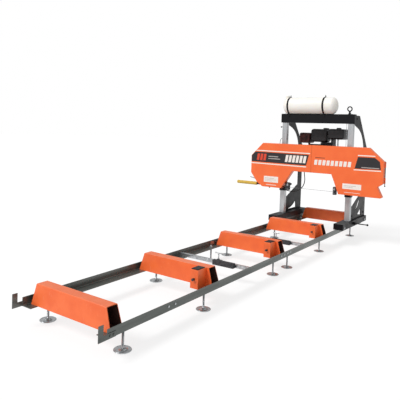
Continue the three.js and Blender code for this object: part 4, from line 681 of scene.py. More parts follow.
for side, sign in sides.items():
    makeRail(f"rail_{side}_front_angle", sign, -rail["half"], -rail["joint"])
    makeRail(f"rail_{side}_rear_angle", sign, rail["joint"], rail["half"])
    makeSplice(f"splice_{side}", sign)
    makeRailBolts(f"rail_bolts_{side}", sign)
    for end, facing in (("front", -1), ("rear", 1)):
        makeStop(f"stop_{end}_{side}", sign, facing)
    for number, (index, shift) in enumerate(zip(foot["bunks"], foot[side]), 1):
        makeFoot(f"foot_{number}_{side}", sign, bunkPlaces[index] + shift)
print("track made")


# Bunks, side posts and log clamps

bunk = {"foldHeight": 305, "foldLength": 60, "middle": 235, "halfInside": 72, "reach": 82, "bracket": 168}
lockScrew = {"x": 298, "z": 235.3}
bracketFronts = {i: bunkPlaces[i - 1] - bunk["bracket"] for i in (2, 3, 4)}


# The channel's two long folds at its top
def isFold(edge):
    a, b = (v.co for v in edge.verts)
    return abs(a.x - b.x) > bunk["foldLength"] * mm and min(a.z, b.z) > bunk["foldHeight"] * mm


# The faces inside the channel get the dark red-brown finish: painted shade for the shadow in its hollow
def paintShadeInside(piece, y):
    piece.data.materials.append(finish["darkPrimer"])
    for face in piece.data.polygons:
        inwards = Vector((0, y - face.center.y, bunk["middle"] * mm - face.center.z))
        near = abs(inwards.y) < bunk["halfInside"] * mm and inwards.length < bunk["reach"] * mm
        if near and face.normal.dot(inwards) > 0 and abs(face.normal.x) < 0.5:
            face.material_index = 1


# The lock screw of a bracket is left out of the copy, because it has a piece of its own
def makeBunk(number):
    front = bracketFronts.get(number, -2 * rail["half"])
    piece = refine(f"bunk_{number}", "scuffedOrangeCoat", 2, 2, folds=isFold,
                   drop=lambda co: co.y < (front - 0.1) * mm)
    # Painted shade: the faces inside the channel are given a dark red-brown
    paintShadeInside(piece, bunkPlaces[number - 1] * mm)
    if number in bracketFronts:
        bm = bmesh.new()
        centre = (lockScrew["x"], 0, lockScrew["z"])
        bolt(bm, 10, front, front - 7, "Y", centre)
        threadedBar(bm, 6, front - 17, front, "Y", centre, 2, 20)
        bar(bm, 12, front - 28, front - 16, "Y", centre, 8, 3)
        finishPiece(bm, f"lock_screw_{number}", "track", "castIron", place="track")


for bunkNumber in range(1, 6):
    makeBunk(bunkNumber)

clamp = {"places": (-712, 566), "x": 44, "top": 189.9, "rod": 6, "barRise": 73, "bar": (6, 82),
         "ends": (8, 80)}


def makeClamp(number, y):
    refine(f"clamp_tube_{number}", "zincPlate", 1.5, 2)
    refine(f"log_clamp_{number}", "castIron", 2.2, 3)
    bm = bmesh.new()
    top, rise = clamp["top"], clamp["top"] + clamp["barRise"]
    threadedBar(bm, clamp["rod"], top, top + 60, "Z", (clamp["x"], y, 0), 1.75, 20)
    bar(bm, 6.4, top + 58, top + 72, "Z", (clamp["x"], y, 0), 24, 1)
    bar(bm, 5, *clamp["bar"], "X", (0, y, rise), 20, 1.5)
    for x in clamp["ends"]:
        lathe(bm, [(0, -6), (4, -5.4), (6.6, -2.6), (7, 0), (6.6, 2.6), (4, 5.4), (0, 6)], "X",
              (x, y, rise), 20)
    finishPiece(bm, f"clamp_handle_{number}", f"clamp_screw_{number}", "zincPlate",
                [f"clamp_screw_{number}"], place="track")


for clampNumber, clampY in enumerate(clamp["places"], 1):
    makeClamp(clampNumber, clampY)
for postNumber in (1, 2, 3):
    refine(f"side_post_{postNumber}", "blackPowderCoat", 2.5, 3)
print("bunks and clamps made")


# Carriage

carriageCopies = {
    "base_beam_right": ("blackPowderCoat", 2.2), "base_beam_left": ("blackPowderCoat", 2.2),
    "guide_post_right": ("silverPaint", 4), "side_frame_right": ("blackPowderCoat", 1.4),
    "side_frame_left": ("blackPowderCoat", 1.4), "head_frame": ("blackPowderCoat", 1.6),
}
for copied, (look, width) in carriageCopies.items():
    refine(copied, look, width, 3)

postKnob = {"x": -559, "z": 1569, "face": -525}
refine("guide_post_left", "silverPaint", 4, 3,
       drop=lambda co: co.x < (trackX * 1000 + postKnob["face"] - 0.3) * mm)


def makePostKnob():
    bm = bmesh.new()
    x, face, centre = postKnob["x"], postKnob["face"], (0, 0, postKnob["z"])
    threadedBar(bm, 5, x, face + 1, "X", centre, 1.5, 18)
    bolt(bm, 9, face, face - 7, "X", centre, 11)
    lathe(bm, [(0, -11), (5, -10), (9, -6.5), (11, 0), (9.6, 6), (6.5, 9.5), (0, 9.5)], "X",
          (x, 0, postKnob["z"]), 28)
    finishPiece(bm, "post_knob", "carriage", "blackPlastic")


axle = {"front": -290, "rear": 605, "z": 246.3, "wheelX": 437, "face": 545, "tip": 554.5}


def makeAxleBolts(name, sign):
    bm = bmesh.new()
    for y in (axle["front"], axle["rear"]):
        bolt(bm, 15, sign * axle["face"], sign * axle["tip"], "X", (0, y, axle["z"]), 19)
    finishPiece(bm, name, "carriage", "zincPlate")


# Grooved, so that it runs on the rail's upstanding edge
def makeTrackWheel(name, sign, y):
    bm = bmesh.new()
    lathe(bm, [(8.3, -13), (13, -13), (15, -11), (26, -11), (29, -13), (38.8, -13), (40, -11.8), (40, -6),
               (33.2, -4.4), (32, -3.4), (32, 3.4), (33.2, 4.4), (40, 6), (40, 11.8), (38.8, 13), (29, 13),
               (26, 11), (15, 11), (13, 13), (8.3, 13)], "X", (sign * axle["wheelX"], y, axle["z"]), 56,
          closed=True)
    finishPiece(bm, name + "_iron", name, "castIron", [name])


beam = {"top": 1765, "boltX": 490, "boltY": 22}
eye = {"x": 460, "z": 1839, "radius": 30, "rod": 8, "neck": 13}


def makeEye():
    bm = bmesh.new()
    x, z, radius, top = eye["x"], eye["z"], eye["radius"], beam["top"]
    ring = [(x + radius * math.cos(a), 0, z + radius * math.sin(a))
            for a in (math.radians(-90 + 360 * i / 48) for i in range(49))]
    sweep(bm, ring, eye["rod"], 18)
    bar(bm, eye["neck"], top, z - 26, "Z", (x, 0, 0), 32, 2)
    bar(bm, 21, top, top + 4, "Z", (x, 0, 0), 32, 1)
    hexagon(bm, 19, top + 3, top + 15, "Z", (x, 0, 0))
    finishPiece(bm, "lifting_eye", "carriage", "blackPowderCoat")


def makeBeam():
    refine("top_beam", "blackPowderCoat", 3, 3, drop=lambda co: co.z > (beam["top"] + 0.2) * mm)
    bm = bmesh.new()
    for x in (-beam["boltX"], beam["boltX"]):
        for y in (-beam["boltY"], beam["boltY"]):
            bolt(bm, 9, beam["top"], beam["top"] + 6, "Z", (x, y, 0), 12)
    finishPiece(bm, "beam_bolts", "carriage", "zincPlate")


lock = {"x": 558, "y": 100, "z": 255.5, "ball": 735}


def makeLockLever():
    bm = bmesh.new()
    y, z = lock["y"], lock["z"]
    bar(bm, 12, y - 8, y + 8, "Y", (lock["x"], 0, z), 28, 1, bore=5.3)
    bar(bm, 7, lock["x"] + 8, lock["ball"] - 7, "X", (0, y, z), 24, 1)
    lathe(bm, [(0, -15), (6, -14), (11.5, -9.6), (14.6, -3.4), (14.6, 3.4), (11.5, 9.6), (7, 13.4), (0, 14)],
          "X", (lock["ball"], y, z), 32)
    finishPiece(bm, "lock_lever_bar", "lock_lever", "blackPowderCoat", ["carriage_lock_lever"])


makePostKnob()
makeEye()
makeBeam()
makeLockLever()
for side, sign in sides.items():
    makeAxleBolts(f"axle_bolts_{side}", sign)
    for end in ("front", "rear"):
        makeTrackWheel(f"track_wheel_{end}_{side}", sign, axle[end])
print("carriage made")


# Water tank with its neck, cap and straps

tank = {"radius": 120, "left": -521, "right": 287, "dome": 70, "z": 1885.3, "cap": -472, "capRadius": 32,
        "neck": 30, "neckBore": 26, "ribs": (-371, -117, 137)}


def makeTank():
    bm = bmesh.new()
    r, dome, z = tank["radius"], tank["dome"], tank["z"]
    end = [(r * math.sin(math.radians(a)), tank["left"] + dome * (1 - math.cos(math.radians(a))))
           for a in range(0, 91, 6)]
    far = [(radius, tank["right"] + tank["left"] - x) for radius, x in reversed(end)]
    lathe(bm, end + far, "X", (0, 0, z), 96)
    for x in tank["ribs"]:
        lathe(bm, [(r - 1, -7), (r + 0.1, -6), (r + 0.15, 6), (r - 1, 7)], "X", (x, 0, z), 96)
    bar(bm, tank["neck"], z + 90, z + 120, "Z", (tank["cap"], 0, 0), 48, 2, bore=tank["neckBore"])
    finishPiece(bm, "tank_shell", "carriage", "milkyPolyethylene", ["water_tank"], smoothBelow=40)
    cap = bmesh.new()
    low = z + r + 0.3
    plate(cap, ridged(tank["cap"], 0, tank["capRadius"], 1.1), "Z", low, low + 22, soft=0.4, segments=1)
    lathe(cap, [(0, low + 20), (29, low + 22), (27, low + 25), (24, low + 26), (0, low + 24.6)], "Z",
          (tank["cap"], 0, 0), 48)
    finishPiece(cap, "tank_cap_ridged", "carriage", "milkyPolyethylene", ["tank_cap"])


# The band runs over the tank, and its ends are bolted to the beam's sides
strap = {"places": (-423, 108), "radius": 120.5, "half": 13, "sheet": 2.3, "boltZ": 1730,
         "side": [(42.2, 1716), (42.2, 1748), (45, 1756)], "clip": 2010}


def makeStrap(number, x):
    bm = bmesh.new()
    r, side, clip = strap["radius"], strap["side"], strap["clip"]
    arc = [(r * math.cos(math.radians(a)), tank["z"] + r * math.sin(math.radians(a)))
           for a in range(-45, 226, 5)]
    strip(bm, [*side, *arc, *[(-y, z) for y, z in reversed(side)]], x - strap["half"],
          x + strap["half"], strap["sheet"])
    finishPiece(bm, f"strap_{number}_band", "carriage", "blackPowderCoat", [f"tank_strap_{number}"])
    bolts = bmesh.new()
    for sign in (1, -1):
        bolt(bolts, 8, sign * 44.5, sign * 50, "Y", (x, 0, strap["boltZ"]), 10)
    threadedBar(bolts, 5, clip - 4, clip + 28, "Z", (x, 0, 0), 1.5, 18)
    hexagon(bolts, 9, clip, clip + 8, "Z", (x, 0, 0))
    box(bolts, x - 10, x + 10, -16, 16, clip - 2.6, clip, 0.8)
    finishPiece(bolts, f"strap_{number}_bolt", "carriage", "blackPowderCoat")


makeTank()
for strapNumber, strapX in enumerate(strap["places"], 1):
    makeStrap(strapNumber, strapX)
print("tank made")


# Saw head: the cover's two doors, the back plate, the hinges and the wheels' shafts

cover = {"front": -175, "rear": -100, "sheet": 3, "pinY": -108.3, "bladeLow": 682, "bladeHigh": 706,
         "archHalf": 450, "archTop": 900, "slotFront": -161}
backPlate = {"front": -99.7, "rear": -95.7, "shaftHole": 15.5}

# Where the band wheels and the engine stand, which the cover, blade and belt follow
wheels = {"x": 690, "z": 936, "hubRear": -107}
engine = {"x": 80, "shaft": 1236, "floor": 1126.3, "left": -9, "right": 169, "top": 1300,
          "boltsX": (-4, 164), "boltsY": (160, 330)}

doors = {
    "left": {"pin": -961, "edge": -954, "low": 870, "high": 1130, "foot": 850, "outline": [
        (-768, 1322), (-954, 1130), (-954, 870), (-850, 733), (-758, 671), (-452, 671), (-283, 935),
        (-1.5, 935), (-1.5, 1322)]},
    "right": {"pin": 991, "edge": 984, "low": 862, "high": 1148, "foot": 822, "outline": [
        (1.5, 1322), (1.5, 935), (296, 935), (402, 671), (958, 671), (976, 684), (912, 812), (984, 862),
        (984, 1148), (789, 1322)]},
}


# The log passes under an arch, and the blade comes out through a slot in the arch's two walls
def makeDoor(side, spec):
    body = f"door_{side}"
    bm = bmesh.new()
    plate(bm, spec["outline"], "Y", cover["front"], cover["rear"], soft=0)
    gone = [f for f in bm.faces if f.normal.y > 0.9 or
            (abs(f.normal.x) > 0.9 and abs(f.calc_center_median().x) < 2)]
    bmesh.ops.delete(bm, geom=gone, context="FACES")
    roundEdges(bm, sharpEdges(bm.faces, 20), 4, 3)
    for low, across in (((0, 0, cover["bladeLow"]), (0, 0, 1)), ((0, 0, cover["bladeHigh"]), (0, 0, 1)),
                        ((0, cover["slotFront"], 0), (0, 1, 0))):
        walls = [f for f in bm.faces if abs(f.calc_center_median().x) < cover["archHalf"]
                 and f.calc_center_median().z < cover["archTop"]
                 and abs(f.normal.y) < 0.1 and abs(f.normal.x) > 0.3]
        geom = [*walls, *{e for f in walls for e in f.edges}, *{v for f in walls for v in f.verts}]
        bmesh.ops.bisect_plane(bm, geom=geom, plane_co=low, plane_no=across, dist=1e-4)
    slot = [f for f in bm.faces if abs(f.calc_center_median().x) < cover["archHalf"] + 10
            and cover["bladeLow"] < f.calc_center_median().z < cover["bladeHigh"]
            and f.calc_center_median().y > cover["slotFront"] and abs(f.normal.x) > 0.3]
    bmesh.ops.delete(bm, geom=slot, context="FACES")
    piece = finishPiece(bm, f"{body}_shell", body, "orangePowderCoat", [body, f"door_rim_{side}"])
    sheet = piece.modifiers.new("sheet", "SOLIDIFY")
    sheet.thickness = cover["sheet"] * mm
    sheet.offset = -1
    sheet.use_even_offset = True
    barrels = bmesh.new()
    for low in (spec["low"] + 30, spec["high"] - 76):
        bar(barrels, 8, low, low + 46, "Z", (spec["pin"], cover["pinY"], 0), 32, 0.6, bore=4.8)
    finishPiece(barrels, f"{body}_barrels", body, "orangePowderCoat")


def makeBackPlate():
    bm = bmesh.new()
    outline = doors["left"]["outline"][:7] + doors["right"]["outline"][2:]
    hole = circle(engine["x"], engine["shaft"], backPlate["shaftHole"])
    plate(bm, outline, "Y", backPlate["front"], backPlate["rear"], holes=[hole], soft=0.8, segments=1)
    for side, spec in doors.items():
        sign, pin, y = sides[side], spec["pin"], cover["pinY"]
        for low in (spec["low"] + 4, spec["high"] - 24):
            bar(bm, 6.5, low, low + 20, "Z", (pin, y, 0), 28, 0.5)
            box(bm, pin - 6.4, pin + 6.4, y, -96, low, low + 20, 0.6)
            x0, x1 = sorted((spec["edge"] - sign * 12, pin + sign * 6.4))
            box(bm, x0, x1, backPlate["front"], -95.5, low, low + 20, 0.6)
    finishPiece(bm, "back_sheet", "saw_head", "orangePowderCoat", ["back_plate"])


def makeHingePins():
    bm = bmesh.new()
    for spec in doors.values():
        centre, end = (spec["pin"], cover["pinY"], 0), spec["foot"]
        bar(bm, 4.5, end, spec["high"] + 4, "Z", centre, 24, 1)
        lathe(bm, [(0, end - 1), (6, end), (9, end + 3), (9, end + 9), (6, end + 13), (0, end + 13)], "Z",
              centre, 28)
    finishPiece(bm, "hinge_pins", "saw_head", "blackPowderCoat")


def makeWheelShafts():
    shafts = bmesh.new()
    housings = bmesh.new()
    for x in (-wheels["x"], wheels["x"]):
        centre = (x, 0, wheels["z"])
        bar(shafts, 15, -167.3, -96, "Y", centre, 40, 1)
        hexagon(shafts, 24, -167.3, -161.3, "Y", centre)
        bar(shafts, 24, backPlate["front"] - 4, backPlate["front"], "Y", centre, 32, 0.6)
        lathe(housings, [(0, -95.7), (44, -95.7), (44, -84), (43, -82.5), (38, -80), (38, -24), (40, -22),
                         (40, -17.5), (38.5, -15.7), (20, -15.7), (18, -18), (0, -18)], "Y", centre, 56)
        for boltX, boltZ in around(x, wheels["z"], 33, 90, 45):
            hexagon(housings, 5, -16, -12, "Y", (boltX, 0, boltZ))
    finishPiece(shafts, "wheel_shafts", "saw_head", "zincPlate")
    finishPiece(housings, "shaft_housings", "saw_head", "castIron")


for side, spec in doors.items():
    makeDoor(side, spec)
makeBackPlate()
makeHingePins()
makeWheelShafts()


# Stickers: a band, a panel, thin lines and slanted bars

vinyl = {"gap": 0.05, "layer": 0.3, "sheet": 0.25}


def slanted(x0, x1, z0, z1, lean):
    return [(x0, z0), (x1, z0), (x1 + lean, z1), (x0 + lean, z1)]


def slantedRow(start, count, width, gap, z0, z1, lean):
    return [slanted(start + i * (width + gap), start + i * (width + gap) + width, z0, z1, lean)
            for i in range(count)]


stickers = {
    "left_band": ("left", "blackVinyl", 0, [
        [(-949, 1038), (-74, 1030), (-35, 1181), (-892, 1186), (-949, 1128)]]),
    "left_lines": ("left", "whiteVinyl", 0, [
        [(-879, 1199), (-24, 1194), (-20, 1208), (-866, 1213)],
        [(-949, 1008), (-74, 1002), (-70, 1016), (-949, 1023)]]),
    "left_red_bars": ("left", "redVinyl", 1, slantedRow(-862, 3, 40, 14, 1062, 1160, 14)),
    "left_thin_bars": ("left", "greyVinyl", 1, [
        slanted(-668, -512, 1120, 1133, 4), slanted(-672, -480, 1088, 1100, 4)]),
    "left_bars": ("left", "whiteVinyl", 1, slantedRow(-402, 6, 40, 15, 1060, 1162, 18)),
    "left_plate": ("left", "whiteVinyl", 0, [roundedRect(-731, -497, 743, 832, 5),
                                             slanted(-692, -528, 703, 711, 0)]),
    "left_plate_lines": ("left", "greyVinyl", 1, [
        slanted(-716, -560, 800, 806, 0), slanted(-716, -530, 780, 785, 0),
        slanted(-716, -600, 762, 766, 0)]),
    "right_panel": ("right", "blackVinyl", 0, [
        [(611, 1037), (952, 1042), (936, 1145), (871, 1193), (651, 1193)]]),
    "right_panel_bar": ("right", "greyVinyl", 1, [slanted(700, 930, 1052, 1062, 0)]),
    "right_lines": ("right", "whiteVinyl", 0, [
        [(648, 1208), (880, 1208), (868, 1220), (651, 1220)],
        [(598, 1014), (955, 1018), (953, 1030), (602, 1026)]]),
    "right_bars": ("right", "whiteVinyl", 0, slantedRow(44, 9, 42, 17, 1050, 1121, 8)),
    "right_dark_bar": ("right", "blackVinyl", 0, [slanted(60, 200, 1146, 1154, 1)]),
    "right_plate": ("right", "whiteVinyl", 0, [roundedRect(458, 709, 753, 826, 5),
                                               slanted(483, 698, 705, 710, 0)]),
    "right_plate_lines": ("right", "greyVinyl", 1, [
        slanted(474, 640, 794, 799, 0), slanted(474, 600, 776, 780, 0)]),
}


def makeSticker(name, spec):
    side, look, layer, shapes = spec
    bm = bmesh.new()
    face = cover["front"] - vinyl["gap"] - vinyl["layer"] * layer
    for shape in shapes:
        plate(bm, shape, "Y", face - vinyl["sheet"], face, soft=0)
    finishPiece(bm, f"{name}_vinyl", f"door_{side}", look)


for name, spec in stickers.items():
    makeSticker(name, spec)


def makeDoorKnob():
    bm = bmesh.new()
    lathe(bm, [(0, 657), (7, 657.5), (10, 660), (10, 665), (7, 669), (5, 671.2), (0, 671.2)], "Z",
          (-650, -140, 0), 32)
    finishPiece(bm, "door_left_knob", "door_left", "heatedSteel")


makeDoorKnob()
print("cover made")


# Band wheels, blade, belt and engine pulley

def makeBandWheel(node, x, pulley):
    bm = bmesh.new()
    z, rear = wheels["z"], wheels["hubRear"]
    centre = (x, 0, z)
    lathe(bm, [(224, -158), (238.5, -158), (240, -156.5), (240, -129.5), (238.5, -128), (224, -128),
               (222, -139), (222, -147)], "Y", centre, 96, closed=True)
    holes = [circle(x, z, 38, 36), *[circle(a, b, 26) for a, b in around(x, z, 178, 60)]]
    plate(bm, circle(x, z, 224, 72), "Y", -147, -139, holes=holes, soft=1, segments=1)
    lathe(bm, [(15.3, -161), (40, -161), (42, -159), (44, -149), (46, -147), (46, -139), (42, -137),
               (42, rear + 1), (41, rear), (15.3, rear)], "Y", centre, 48, closed=True)
    if pulley:
        lathe(bm, [(40, -125), (121, -125), (122.5, -124), (122.5, -122.5), (113.2, -122.5), (113.2, -109.5),
                   (122.5, -109.5), (122.5, -108), (121, -107), (40, -107)], "Y", centre, 72, closed=True)
    finishPiece(bm, node + "_cast", node, "castIron", [node])


def makeEnginePulley():
    bm = bmesh.new()
    lathe(bm, [(0, -126), (12.5, -126), (12.5, -125), (49, -125), (50.5, -124), (50.5, -122.5),
               (41.2, -122.5), (41.2, -109.5), (50.5, -109.5), (50.5, -108), (49, -107), (12.5, -107),
               (12.5, 187), (0, 187)], "Y", (engine["x"], 0, engine["shaft"]), 48)
    finishPiece(bm, "engine_pulley_cast", "engine_pulley", "castIron", ["engine_pulley"])


blade = {"radius": 242, "pitch": 22, "sheet": 1.1}


# One tooth is drawn flat, repeated along the band, and the band is bent round the wheels
def makeBlade():
    outer, spread, height = blade["radius"], wheels["x"], wheels["z"]
    arc = math.pi * outer
    length = 4 * spread + 2 * arc
    count = round(length / blade["pitch"])
    pitch = length / count
    bm = bmesh.new()
    tooth = [(0, -127), (1, -127), (1, -153), (0.97, -159), (0.74, -157.4), (0.45, -153.6), (0.2, -151.8),
             (0, -153)]
    verts = [bm.verts.new((share * pitch, y, 0)) for share, y in tooth]
    edges = [bm.edges.new(pair) for pair in zip(verts, verts[1:] + verts[:1])]
    bmesh.ops.contextual_create(bm, geom=edges)
    bmesh.ops.bisect_plane(bm, geom=[*bm.verts, *bm.edges, *bm.faces], plane_co=(pitch / 2, 0, 0),
                           plane_no=(1, 0, 0))
    first = [*bm.verts, *bm.edges, *bm.faces]
    for step in range(1, count):
        copy = bmesh.ops.duplicate(bm, geom=first)["geom"]
        bmesh.ops.translate(bm, vec=(step * pitch, 0, 0), verts=vertsIn(copy))
    for vert in bm.verts:
        run = vert.co.x
        if run <= 2 * spread:
            vert.co.x, vert.co.z = -spread + run, height - outer
        elif run <= 2 * spread + arc:
            turn = (run - 2 * spread) / outer - math.pi / 2
            vert.co.x, vert.co.z = spread + outer * math.cos(turn), height + outer * math.sin(turn)
        elif run <= 4 * spread + arc:
            vert.co.x, vert.co.z = 3 * spread + arc - run, height + outer
        else:
            turn = (run - 4 * spread - arc) / outer + math.pi / 2
            vert.co.x, vert.co.z = -spread + outer * math.cos(turn), height + outer * math.sin(turn)
    bmesh.ops.remove_doubles(bm, verts=bm.verts, dist=0.02)
    bmesh.ops.recalc_face_normals(bm, faces=bm.faces)
    lowest = min(bm.faces, key=lambda f: f.calc_center_median().z)
    if lowest.normal.z > 0:
        bmesh.ops.reverse_faces(bm, faces=bm.faces)
    bmesh.ops.solidify(bm, geom=bm.faces, thickness=blade["sheet"])
    finishPiece(bm, "blade_band", nodes["blade"]["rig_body"], "bladeSteel", ["blade"])


makeBandWheel("drive_wheel", wheels["x"], True)
makeBandWheel("idle_wheel", -wheels["x"], False)
makeEnginePulley()
makeBlade()
refine("drive_belt", "blackRubber", 1.4, 2)
print("wheels and blade made")


# Engine with its tank, air cleaner and muffler

def makeCrankcase():
    bm = bmesh.new()
    x, z, floor = engine["x"], engine["shaft"], engine["floor"]
    left, right, top = engine["left"], engine["right"], engine["top"]
    box(bm, left - 6, right + 6, 150, 340, floor, floor + 12, 2)
    plate(bm, roundedRect(left, right, floor + 8, top, 16), "Y", 156, 200,
          holes=[circle(x, z, 13.6)], soft=5)
    box(bm, left, right, 195, 336, floor + 8, top, 14, 3)
    bar(bm, 54, 150, 158, "Y", (x, 0, z), 48, 1.5, bore=13.6)
    for boltX, boltZ in around(x, z, 45, 60, 30):
        hexagon(bm, 5.5, 146, 150.5, "Y", (boltX, 0, boltZ))
    for boltX in engine["boltsX"]:
        for boltY in engine["boltsY"]:
            bolt(bm, 9, floor + 12, floor + 20, "Z", (boltX, boltY, 0), 10)
    for ribX in range(5, 160, 30):
        box(bm, ribX, ribX + 4, 152, 160, floor + 12, 1170, 1)
    oilPlug = [(0, 136), (11, 136), (13, 138), (13, 146), (9, 148), (9, 158), (0, 158)]
    lathe(bm, oilPlug, "Y", (148, 0, 1162), 24)
    box(bm, -2, 162, 174, 316, top - 4, 1365.5, 6)
    for i in range(9):  # cooling fins
        low = top + 3 + 7 * i
        plate(bm, roundedRect(left - 6, right + 6, 161, 329, 16), "Z", low, low + 2.6, soft=0.6, segments=1)
    box(bm, 147, 174, 172, 318, top - 4, 1411.5, 4)
    box(bm, 151, 170, 166, 324, 1398, 1411.5, 3)
    finishPiece(bm, "engine_casting", "saw_head", "engineAlloy", ["engine_block"])


def makePlug():
    bm = bmesh.new()
    bar(bm, 7, 148, 176, "Y", (40, 0, 1336), 24, 1)
    bar(bm, 9.5, 138, 156, "Y", (40, 0, 1336), 24, 3)
    bar(bm, 6, 1334, 1358, "Z", (40, 144, 0), 20, 2)
    finishPiece(bm, "spark_plug_boot", "saw_head", "blackRubber")


def makeRecoil():
    bm = bmesh.new()
    x, z = engine["x"], engine["shaft"]
    lathe(bm, [(0, 338), (96, 338), (104, 346), (104, 380), (98, 393), (88, 399), (80, 399),
               (80, 390), (0, 390)], "Y", (x, 0, z), 72)
    openings = []
    half = math.radians(6)
    for turn in range(0, 360, 24):
        a = math.radians(turn)
        openings.append([(x + r * math.cos(a + s), z + r * math.sin(a + s))
                         for r, s in ((36, -half), (74, -half), (74, half), (36, half))])
    plate(bm, circle(x, z, 82, 64), "Y", 396, 400, holes=openings, soft=0.6, segments=1)
    lathe(bm, [(0, 399), (28, 399), (27, 402), (0, 403)], "Y", (x, 0, z), 48)
    for boltX, boltZ in around(x, z, 96, 90, 45):
        bar(bm, 8, 340, 396, "Y", (boltX, 0, boltZ), 20, 1)
        hexagon(bm, 6, 395, 399, "Y", (boltX, 0, boltZ))
    finishPiece(bm, "recoil_housing", "saw_head", "engineAlloy")
    grip = bmesh.new()
    bar(grip, 4, 176, 206, "X", (0, 392, z), 16, 0.5)
    lathe(grip, [(0, 200), (6, 200), (8.5, 206), (9, 216), (8.6, 230), (9, 238), (7, 243.5),
                 (0, 244.5)], "X", (0, 392, z), 28)
    finishPiece(grip, "recoil_grip", "saw_head", "blackRubber")


def makeFuelTank():
    bm = bmesh.new()
    plate(bm, roundedRect(110, 346, 1412, 1562, 36, 8), "Y", 130, 400, soft=22, segments=4)
    plate(bm, roundedRect(108.5, 347.5, 128.5, 401.5, 24), "Z", 1483, 1488, soft=1, segments=1)
    for x in (168, 288):
        box(bm, x - 13, x + 13, 133, 397, 1410.5, 1413.5, 1)
    bar(bm, 27, 1556, 1566, "Z", (228, 265, 0), 40, 1)
    plate(bm, ridged(228, 265, 34, 1.2), "Z", 1564, 1577, soft=0.5, segments=1)
    lathe(bm, [(0, 1576), (31, 1577), (28, 1580), (0, 1581)], "Z", (228, 265, 0), 48)
    finishPiece(bm, "fuel_tank_shell", "saw_head", "blackPlastic", ["fuel_tank"], smoothBelow=40)


def makeAirCleaner():
    bm = bmesh.new()
    plate(bm, roundedRect(-154, 90, 1366, 1556, 40, 8), "Y", 150, 340, soft=20, segments=4)
    plate(bm, roundedRect(-155.5, 91.5, 148.5, 341.5, 24), "Z", 1446, 1451, soft=1, segments=1)
    plate(bm, roundedRect(-155.5, 91.5, 148.5, 341.5, 24), "Z", 1454, 1459, soft=1, segments=1)
    for x in range(-116, 60, 22):
        box(bm, x, x + 7, 147.5, 153, 1472, 1532, 1.5)
    box(bm, 20, 74, 190, 300, 1552, 1573, 7, 3)
    for y in (200, 290):
        box(bm, -159, -152, y - 14, y + 14, 1434, 1470, 2)
    finishPiece(bm, "air_cleaner_shell", "saw_head", "blackPlastic", ["air_cleaner"], smoothBelow=40)


def makeMuffler():
    bm = bmesh.new()
    plate(bm, roundedRect(-328, -168, 1345, 1495, 24, 6), "Y", 150, 340, soft=7, segments=3)
    for y in (214, 276):
        plate(bm, roundedRect(-329.5, -166.5, 1343.5, 1496.5, 25, 6), "Y", y, y + 3, soft=0.8, segments=1)
    bar(bm, 17, -336, -326, "X", (0, 245, 1420), 32, 1, bore=13)
    rows = [roundedRect(x, x + 46, z, z + 7, 3.4) for z in range(1372, 1470, 17) for x in (-300, -242)]
    plate(bm, roundedRect(-320, -176, 1354, 1486, 14), "Y", 142.5, 144.5, holes=rows, soft=0.5, segments=1)
    for x in (-306, -190):
        for z in (1362, 1478):
            bar(bm, 4, 143, 151, "Y", (x, 0, z), 16, 0.5)
            hexagon(bm, 6, 139, 142.6, "Y", (x, 0, z))
    sweep(bm, smoothPath([(-210, 245, 1352), (-210, 245, 1334), (-206, 245, 1322), (-194, 245, 1316),
                          (-172, 245, 1316), (-100, 245, 1316), (-16, 245, 1316)], 6), 16, 24)
    box(bm, -23, -15.5, 219, 271, 1292, 1340, 3)
    for y in (226, 264):
        hexagon(bm, 6, -28, -22.5, "X", (0, y, 1316))
    finishPiece(bm, "muffler_shell", "saw_head", "heatedSteel", ["muffler"], smoothBelow=40)


def makeEnginePipes():
    bm = bmesh.new()
    sweep(bm, smoothPath([(170, 212, 1268), (196, 210, 1270), (226, 200, 1286), (238, 196, 1326),
                          (240, 198, 1376), (240, 200, 1413)], 6), 6, 16)
    sweep(bm, smoothPath([(170, 176, 1214), (204, 172, 1216), (240, 164, 1232), (262, 160, 1276),
                          (258, 170, 1350), (256, 176, 1413)], 6), 5, 16)
    for x, y in ((240, 200), (256, 176)):
        bar(bm, 9, 1400, 1413, "Z", (x, y, 0), 24, 1)
    finishPiece(bm, "engine_pipes", "saw_head", "zincPlate")


makeCrankcase()
makePlug()
makeRecoil()
makeFuelTank()
makeAirCleaner()
makeMuffler()
makeEnginePipes()
print("engine made")


# Head frame bolts, blade guides, push handle, tension screw and lift crank

def makeFrameBolts():
    bm = bmesh.new()
    for sign in (1, -1):
        for z in (790, 930, 1218):
            bolt(bm, 9, sign * 533, sign * 540, "X", (0, -14, z), 12)
        for z in (860, 1060):
            bolt(bm, 8, -43, -49, "Y", (sign * 490, 0, z), 11)
    for x in engine["boltsX"]:
        for y in engine["boltsY"]:
            bolt(bm, 8, 1117, 1111, "Z", (x, y, 0), 10)
    for x in (-180, 306):
        for y in (60, 200, 340):
            bolt(bm, 7, 1126, 1131, "Z", (x, y, 0), 9)
    finishPiece(bm, "frame_bolts", "saw_head", "zincPlate")


guides = {"z": 728, "face": -160.2, "bolts": (668, 748),
          "x": {"blade_guide_arm": -352, "blade_guide_fixed": 341}}


def makeGuideRoller(name, body, x):
    bm = bmesh.new()
    centre = (x, 0, guides["z"])
    bar(bm, 11, -166.5, -159.5, "Y", centre, 36, 1)
    bar(bm, 14, -160.6, -159, "Y", centre, 36, 0.4)
    hexagon(bm, 5, -169.5, -166, "Y", centre)
    for z in guides["bolts"]:
        hexagon(bm, 6, -164, -159.5, "Y", (x, 0, z))
    finishPiece(bm, name, body, "zincPlate")


handle = {"y": -36, "z": 692, "leverX": -892, "leverZ": 752}


